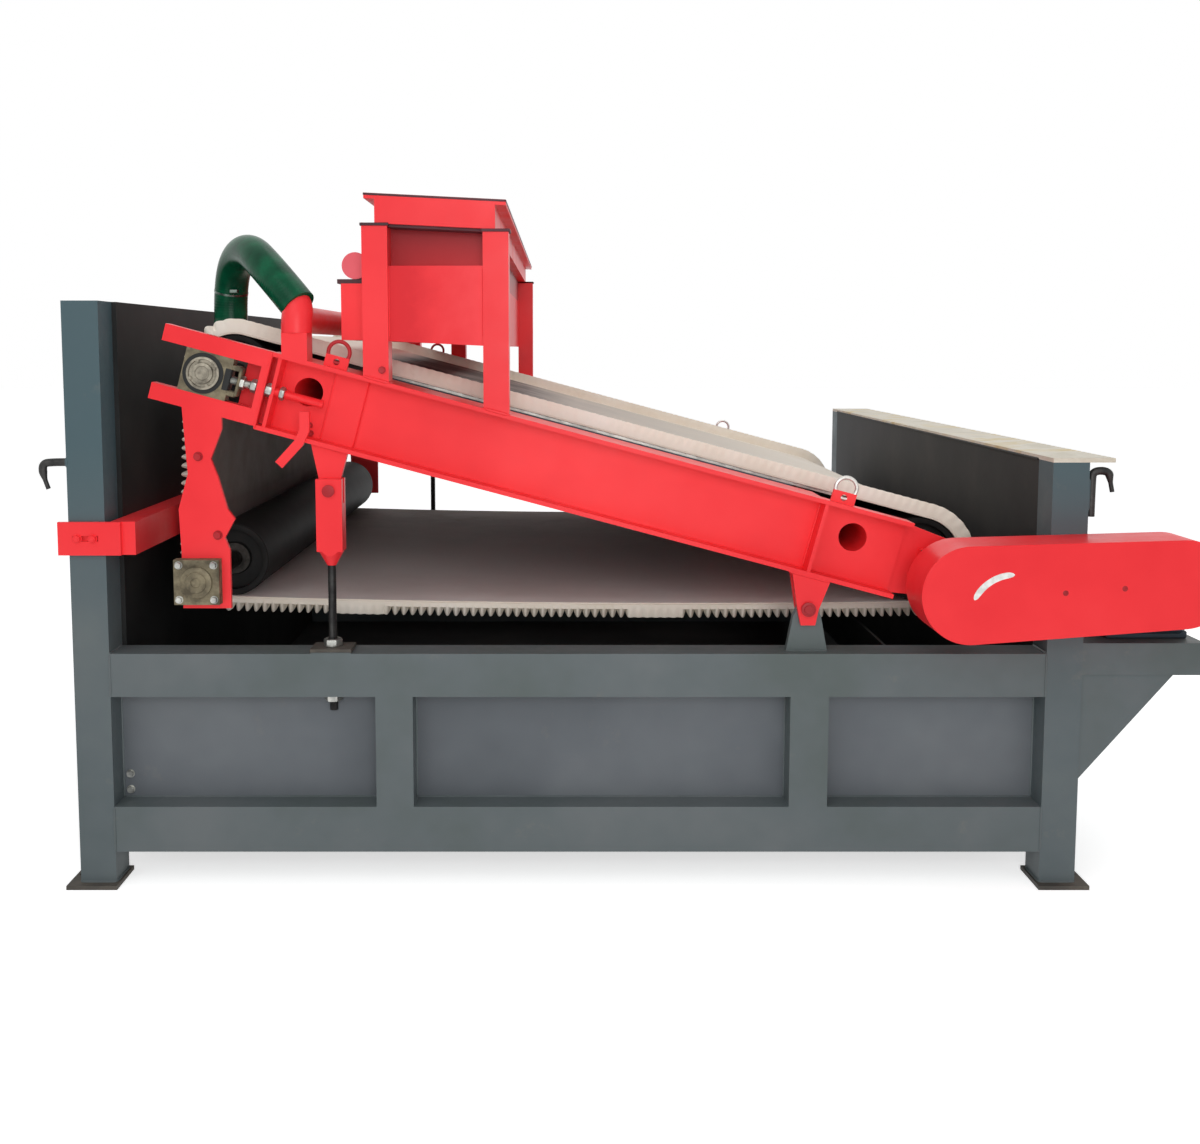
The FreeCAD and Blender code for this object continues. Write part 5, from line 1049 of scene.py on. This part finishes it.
deck_way = on_deck((1.0, 0.0, 0.0)) - on_deck((0.0, 0.0, 0.0))
screw_nuts = []
for along, tall in ((0.100, 0.014), (0.131, 0.017), (0.172, 0.019), (0.212, 0.014)):
    screw_nuts.append(nut(on_deck((TAKE_ALONG + along, BEAM_Y + 0.020, TAKE_UP)), deck_way, 0.034, tall))
piece("tension_nuts", both_sides(screw_nuts), zinc, "deck")


# Return bearings
# Square flanged cast units under the hanging arms, with a round cap and four plated bolts.
flange_low, flange_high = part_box("return_bearings")
return_rings = [turned([(0.0, 0.0), (0.044, 0.0), (0.043, -0.006), (0.036, -0.008), (0.030, -0.008), (0.028, -0.0105),
                        (0.014, -0.0105), (0.012, -0.008), (0.0, -0.008)], (RETURN[0], flange_low.y, RETURN[2]))]
piece("return_bearing_caps", both_sides(return_rings), cast_iron, "deck")
return_bolts = []
for x in (-0.048, 0.048):
    for z in (-0.048, 0.048):
        return_bolts.append(hex_bolt((RETURN[0] + x, flange_low.y, RETURN[2] + z), (0, -1, 0), 0.017, 0.0088,
                                     0.022))
piece("return_bearing_bolts", both_sides(return_bolts), zinc, "deck")
arm_bolts = [hex_bolt((RETURN[0] + x, BEAM_Y, RETURN[2] + z), (0, -1, 0), 0.019, 0.008, 0.026)
             for x, z in ((0.005, 0.345), (0.054, 0.127))]
piece("arm_bolts", both_sides(arm_bolts), dark_shaded_red, "deck")


# Drum bearings
# Square cast units on the deck's lower end; only the back one shows past the guard.
drum_low, drum_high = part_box("drum_bearings")
drum_rings = [turned([(0.0, 0.0), (0.058, 0.0), (0.056, 0.006), (0.048, 0.0085), (0.034, 0.0085), (0.032, 0.0045),
                      (0.0, 0.0045)], (DRUM[0], drum_high.y - 0.0005, DRUM[2]))]
piece("drum_bearing_rings", drum_rings, cast_iron, "deck")
drum_bolts = []
for x in (-0.058, 0.058):
    for z in (-0.058, 0.058):
        drum_bolts.append(hex_bolt((DRUM[0] + x, drum_high.y, DRUM[2] + z), (0, 1, 0), 0.019, 0.009, 0.024))
piece("drum_bearing_bolts", drum_bolts, zinc, "deck")


# Feed hopper
# Welded red sheet on square legs; near-black strips of painted shade lie under the top frame and along the lip, and
# welds run down the legs.
leg_low, leg_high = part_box("hopper_legs")
hopper_frame_low, hopper_frame_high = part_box("hopper_frame")
LEG_LEFT, LEG_RIGHT, LEG_WIDE = -0.587, -0.259, 0.070
HOPPER_LEAN = math.tan(math.radians(2.8))
HOPPER_RIM = 1.850
# Painted shade: near-black strips where the legs meet the top frame, under the frame between the legs, and along the
# lip of the rim.
shade_strips = []
for x in (LEG_LEFT, LEG_RIGHT):
    top = HOPPER_RIM - (x + LEG_WIDE / 2 - LEG_LEFT) * HOPPER_LEAN
    shade_strips.append(chamfered((x - 0.004, BEAM_Y - 0.004, top - 0.007), (x + LEG_WIDE + 0.004, BEAM_Y + LEG_WIDE,
                                                                       top + 0.001), 0.001))
shade_strip_paint = sprayed_enamel("near_black_painted_shade", ("#34181D", "#432026", "#52282F"), 0.5)
LIP_LOW, LIP_HIGH, LIP_TOP, LIP_SHADE_TALL = -0.580, -0.196, 0.0797, 0.006


def leaning(low, high, cut):
    """A chamfered bar whose height falls to the right as the hopper's rim does."""
    points, faces = chamfered(low, high, cut)
    points = points.copy()
    points[:, 2] -= (points[:, 0] - LEG_LEFT) * HOPPER_LEAN
    return points, faces


shade_strips.append(leaning((LEG_LEFT + LEG_WIDE, BEAM_Y + 0.012, HOPPER_RIM - 0.008),
                       (LEG_RIGHT, BEAM_Y + 0.075, HOPPER_RIM + 0.0005), 0.001))
lip_y = -hopper_frame_high.y
shade_strips.append(leaning((LIP_LOW - 0.001, lip_y - 0.001, HOPPER_RIM + LIP_TOP - LIP_SHADE_TALL),
                       (LIP_HIGH + 0.001, lip_y + 0.004, HOPPER_RIM + LIP_TOP), 0.0005))
shade_strips.append(leaning((LIP_LOW - 0.001, lip_y, HOPPER_RIM + LIP_TOP - LIP_SHADE_TALL),
                       (LIP_LOW + 0.004, 0.0, HOPPER_RIM + LIP_TOP), 0.0005))
shade_strips.append(leaning((LIP_HIGH - 0.004, lip_y, HOPPER_RIM + LIP_TOP - LIP_SHADE_TALL),
                       (LIP_HIGH + 0.001, 0.0, HOPPER_RIM + LIP_TOP), 0.0005))
piece("hopper_painted_shade_strips", both_sides(shade_strips), shade_strip_paint, "deck")
# The feed box's lid is in the same near-black: painted shade for the dark line at the lid.
wear(shade_strip_paint, "feed_box_lid")


def hopper_enamel():
    """Red enamel with painted shade that darkens it from the step up to the top frame, and a tone that turns paler
    towards its right.
    """
    material, tree, where = new_material("hopper_enamel_painted_shade")
    place = add_node(tree, "ShaderNodeSeparateXYZ", {"Vector": where})
    blot = add_node(tree, "ShaderNodeTexNoise", {"Vector": where, "Scale": 5.0, "Detail": 6.0, "Roughness": 0.6})
    tilt = add_node(tree, "ShaderNodeMath", {0: place.outputs["X"], 1: 2.2, 2: blot.outputs["Fac"]},
                    operation="MULTIPLY_ADD")
    tone = add_node(tree, "ShaderNodeValToRGB", {"Fac": add_node(tree, "ShaderNodeMapRange", {
        "Value": tilt.outputs[0], "From Min": -0.75, "From Max": 0.15}).outputs[0]},
        [(0.2, linear("#D61D27")), (0.5, linear("#E82C33")), (0.85, linear("#F04046"))])
    # Painted shade: the red darkens with height above the step, most just under the top frame.
    under = add_node(tree, "ShaderNodeMapRange", {"Value": place.outputs["Z"], "From Min": 1.735, "From Max": 1.842})
    shade = add_node(tree, "ShaderNodeValToRGB", {"Fac": under.outputs[0]},
                     [(0.0, (0.0, 0.0, 0.0, 1.0)), (0.05, (0.55, 0.55, 0.55, 1.0)), (1.0, (0.9, 0.9, 0.9, 1.0))])
    mixed = add_node(tree, "ShaderNodeMix", {
        0: shade.outputs["Color"], 6: tone.outputs["Color"], 7: linear("#7C0A14")}, data_type="RGBA")
    peel = add_node(tree, "ShaderNodeTexNoise", {"Vector": where, "Scale": 400.0})
    bump = add_node(tree, "ShaderNodeBump", {"Height": peel.outputs["Fac"], "Strength": 0.1, "Distance": 0.0004})
    paint = add_node(tree, "ShaderNodeBsdfPrincipled", {
        "Base Color": mixed.outputs[2], "Roughness": 0.38, "Specular IOR Level": 0.2,
        "Normal": bump.outputs["Normal"]})
    return set_surface(material, tree, paint)


wear(hopper_enamel(), "hopper_box")
hopper_welds = []
for x in (LEG_LEFT, LEG_LEFT + LEG_WIDE, LEG_RIGHT, LEG_RIGHT + LEG_WIDE):
    foot = PIN[2] + DECK_TOP / math.cos(SLOPE) - (x - PIN[0]) * math.tan(SLOPE)
    hopper_welds.append(weld_bead((x, BEAM_Y, foot), (x, BEAM_Y + LEG_WIDE, foot), 0.008))
for x in (LEG_LEFT, LEG_RIGHT):
    feet = [PIN[2] + DECK_TOP / math.cos(SLOPE) - (at - PIN[0]) * math.tan(SLOPE) for at in (x, x + LEG_WIDE)]
    hopper_welds.append(weld_bead((x, BEAM_Y, feet[0]), (x + LEG_WIDE, BEAM_Y, feet[1]), 0.008))
for x in (LEG_LEFT + LEG_WIDE, LEG_RIGHT):
    hopper_welds.append(weld_bead((x, BEAM_Y + 0.016, 1.54), (x, BEAM_Y + 0.016, 1.73), 0.006))
piece("hopper_welds", both_sides(hopper_welds), red_enamel, "deck")
leg_bolts = [hex_bolt((LEG_LEFT + 0.052, BEAM_Y, 1.452), (0, -1, 0), 0.017, 0.006, 0.020)]
piece("leg_foot_bolts", both_sides(leg_bolts), dark_shaded_red, "deck")


# Feed pipe
# Round inlet pipe along the feed box, in faded pinkish red.
faded_red = sprayed_enamel("faded_red_enamel", ("#D9545F", "#E0606A", "#E66D76"), 0.4, dust="#E6A9A2")
wear(faded_red, "feed_pipe")


# Wash pipe and hose
# Bent red pipe into a green reinforced PVC hose, clamped near its lower end with a worm-drive band.
WASH_X, POST_TOP = -0.774, 1.553
elbow = np.array((WASH_X, BEAM_Y + 0.035, POST_TOP + 0.042))
HOSE_LEFT, HOSE_BACK, HOSE_RISE, HOSE_DIA = 0.281, 0.370, 0.215, 0.100
aim = np.array((-HOSE_LEFT * 0.30, HOSE_BACK * 0.16, HOSE_RISE * 0.62))
hose_start = elbow + (0.004, 0.012, 0.034)
pipe_foot = np.array((WASH_X, BEAM_Y + 0.035, POST_TOP))
riser = evenly(spline_line([pipe_foot, elbow - (0.0, 0.0, 0.008), hose_start, hose_start + (aim + elbow - hose_start) * 0.3]),
               0.004)[0]
wash_run = turned([(0.0, 0.0), (0.038, 0.0), (0.038, -2 * pipe_foot[1]), (0.0, -2 * pipe_foot[1])],
                  pipe_foot + (0.0, 0.0, 0.038))
wash_pipe = piece("bent_wash_pipe", [tube(riser, 0.042), wash_run], red_enamel, "deck")
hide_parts("wash_pipe")
outlet_low, outlet_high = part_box("hose_outlet")
hose_points = [hose_start, elbow + aim]
for along, back, lift in ((0.68, 0.60, 1.0), (1.0, 1.0, 0.66)):
    hose_points.append(elbow + np.array((-HOSE_LEFT * along, HOSE_BACK * back, HOSE_RISE * lift)))
hose_points.append(np.array((elbow[0] - HOSE_LEFT, elbow[1] + HOSE_BACK, outlet_low.z + 0.030)))


def hose_finish():
    """Glossy green PVC: dark where it is thick, with paler worn streaks."""
    material, tree, where = new_material("green_pvc_hose")
    blot = add_node(tree, "ShaderNodeTexNoise", {"Vector": where, "Scale": 16.0, "Detail": 5.0})
    tone = add_node(tree, "ShaderNodeValToRGB", {"Fac": blot.outputs["Fac"]},
                    [(0.34, linear("#053C28")), (0.55, linear("#094D33")), (0.75, linear("#0F5F40"))])
    pvc = add_node(tree, "ShaderNodeBsdfPrincipled", {
        "Base Color": tone.outputs["Color"], "Roughness": 0.25, "Specular IOR Level": 0.12})
    return set_surface(material, tree, pvc)


hose_path, hose_run = evenly(spline_line(hose_points), 0.0022)
turn = np.linspace(0.0, 2 * math.pi, 41)[:-1]
HELIX = 0.009
ribs = 0.00015 * np.cos(2 * math.pi * hose_run[:, None] / HELIX - turn[None]) - 0.0004
hose_green = hose_finish()
hose = piece("reinforced_wash_hose", [tube(hose_path, HOSE_DIA / 2 + ribs)], hose_green, "deck", 60.0)
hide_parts("wash_hose")
wear(hose_green, "hose_outlet")

bands = []
for start in (hose_run[-1] - 0.084,):
    inside = (hose_run > start) & (hose_run < start + 0.009)
    bands.append(tube(hose_path[inside], HOSE_DIA / 2 + 0.0006))
    where_band = hose_path[inside].mean(0)
    bands.append(chamfered(where_band + (0.010, -HOSE_DIA / 2 - 0.008, -0.006),
                           where_band + (0.034, -HOSE_DIA / 2 + 0.010, 0.006), 0.002))
# Stainless band tinted green: a painted reflection of the hose it wraps.
stainless = metal("stainless_band_green_reflection", ("#4C5A52", "#7E8A83"), 0.3)
piece("hose_clamps", bands, stainless, "deck")


# Lifting rings
# Forged rings that lie in the lugs on the beams' flanges: the right pair bright, the left pair in the darker red of the
# fixings, which is partly painted shade.
def ring_shape(centre, major, minor, lean):
    """A torus: a circle of the bar's radius carried round a circle, which leans back about Y."""
    around = np.linspace(0.0, 2 * math.pi, 41)[:-1]
    bar = np.linspace(0.0, 2 * math.pi, 15)[:-1]
    reach = major + minor * np.cos(bar)[None, :]
    across = reach * np.cos(around)[:, None]
    up = reach * np.sin(around)[:, None]
    thick = np.broadcast_to(minor * np.sin(bar)[None, :], across.shape)
    points = np.stack([across * math.cos(lean), thick * 1.0, up], -1)
    return points + np.array(centre, float), [grid_faces(40, 14, True, True)]


ring_steel = metal("forged_ring_steel", ("#B0ADA8", "#DEDBD6"), 0.4, metallic=0.7)
RING_ALONG = (BEAM_END + 0.169, 0.016)
for name, along, material in (("left_lifting_rings", RING_ALONG[0], dark_shaded_red),
                              ("right_lifting_rings", RING_ALONG[1], ring_steel)):
    centre = on_deck((along, BEAM_Y + 0.035, DECK_TOP + 0.0165 + 0.027))
    piece(name, both_sides([ring_shape(centre, 0.030, 0.0055, 0.15)]), material, "deck")


# Lever bolts
# Two small bolts hold each lever's plate to the web beside its pivot.
lever_bolts = [hex_bolt(on_deck((along, WEB_Y, up)), (0, -1, 0), 0.013, 0.006, 0.017)
               for along, up in ((-1.474, 0.131), (-1.466, 0.110))]
piece("lever_bolts", both_sides(lever_bolts), dark_shaded_red, "deck")


# Floor
# A plain pale floor under the feet; the camera sees white behind it.
floor_mesh = bpy.data.meshes.new("floor")
FLOOR_HALF = 40.0
floor_mesh.from_pydata([(-FLOOR_HALF, -FLOOR_HALF, 0), (FLOOR_HALF, -FLOOR_HALF, 0), (FLOOR_HALF, FLOOR_HALF, 0),
                        (-FLOOR_HALF, FLOOR_HALF, 0)], [], [(0, 1, 2, 3)])
floor_material, tree, where = new_material("pale_floor")
floor_paint = add_node(tree, "ShaderNodeBsdfPrincipled", {
    "Base Color": (0.93, 0.94, 0.94, 1.0), "Roughness": 0.9, "Specular IOR Level": 0.1})
rays = add_node(tree, "ShaderNodeLightPath")
bounced = add_node(tree, "ShaderNodeMath", {0: rays.outputs["Is Glossy Ray"], 1: rays.outputs["Is Transmission Ray"]},
                   operation="MAXIMUM")
seen = add_node(tree, "ShaderNodeMath", {0: rays.outputs["Is Camera Ray"], 1: bounced.outputs[0]},
                operation="MAXIMUM")
lift = add_node(tree, "ShaderNodeMath", {0: seen.outputs[0], 1: 0.60}, operation="MULTIPLY")
glow = add_node(tree, "ShaderNodeEmission", {"Strength": lift.outputs[0]})
set_surface(floor_material, tree, add_node(tree, "ShaderNodeAddShader", {
    0: floor_paint.outputs[0], 1: glow.outputs[0]}))
floor_mesh.materials.append(floor_material)
floor = bpy.data.objects.new("floor", floor_mesh)
bpy.context.scene.collection.objects.link(floor)


# Light
# An even white surround with three large soft lamps, two in front and one above, as in a product photograph.
world = bpy.data.worlds.new("studio")
bpy.context.scene.world = world
world.use_nodes = True
tree = world.node_tree
tree.nodes.clear()
rays = add_node(tree, "ShaderNodeLightPath")
bounced = add_node(tree, "ShaderNodeMath", {0: rays.outputs["Is Glossy Ray"], 1: rays.outputs["Is Transmission Ray"]},
                   operation="MAXIMUM")
seen = add_node(tree, "ShaderNodeMath", {0: rays.outputs["Is Camera Ray"], 1: bounced.outputs[0]},
                operation="MAXIMUM")
strength = add_node(tree, "ShaderNodeMapRange", {"Value": seen.outputs[0], "To Min": 0.42, "To Max": 1.0})
surround = add_node(tree, "ShaderNodeBackground", {"Color": (1.0, 1.0, 1.0, 1.0), "Strength": strength.outputs[0]})
add_node(tree, "ShaderNodeOutputWorld", {"Surface": surround.outputs[0]})
for name, place, size, power in (("front_softbox", (-2.5, -5.5, 4.5), 4.0, 70.0),
                                 ("low_front_softbox", (0.4, -5.8, 2.0), 2.2, 75.0),
                                 ("top_softbox", (1.5, 0.5, 5.5), 5.0, 80.0)):
    lamp_data = bpy.data.lights.new(name, "AREA")
    lamp_data.size = size
    lamp_data.energy = power
    lamp = bpy.data.objects.new(name, lamp_data)
    lamp.location = place
    towards = np.array((0.0, 0.0, 0.8)) - np.array(place)
    lamp.rotation_euler = (math.acos(-towards[2] / np.linalg.norm(towards)), 0.0,
                           math.atan2(towards[1], towards[0]) - math.pi / 2)
    bpy.context.scene.collection.objects.link(lamp)

bpy.context.scene.view_settings.view_transform = "Standard"
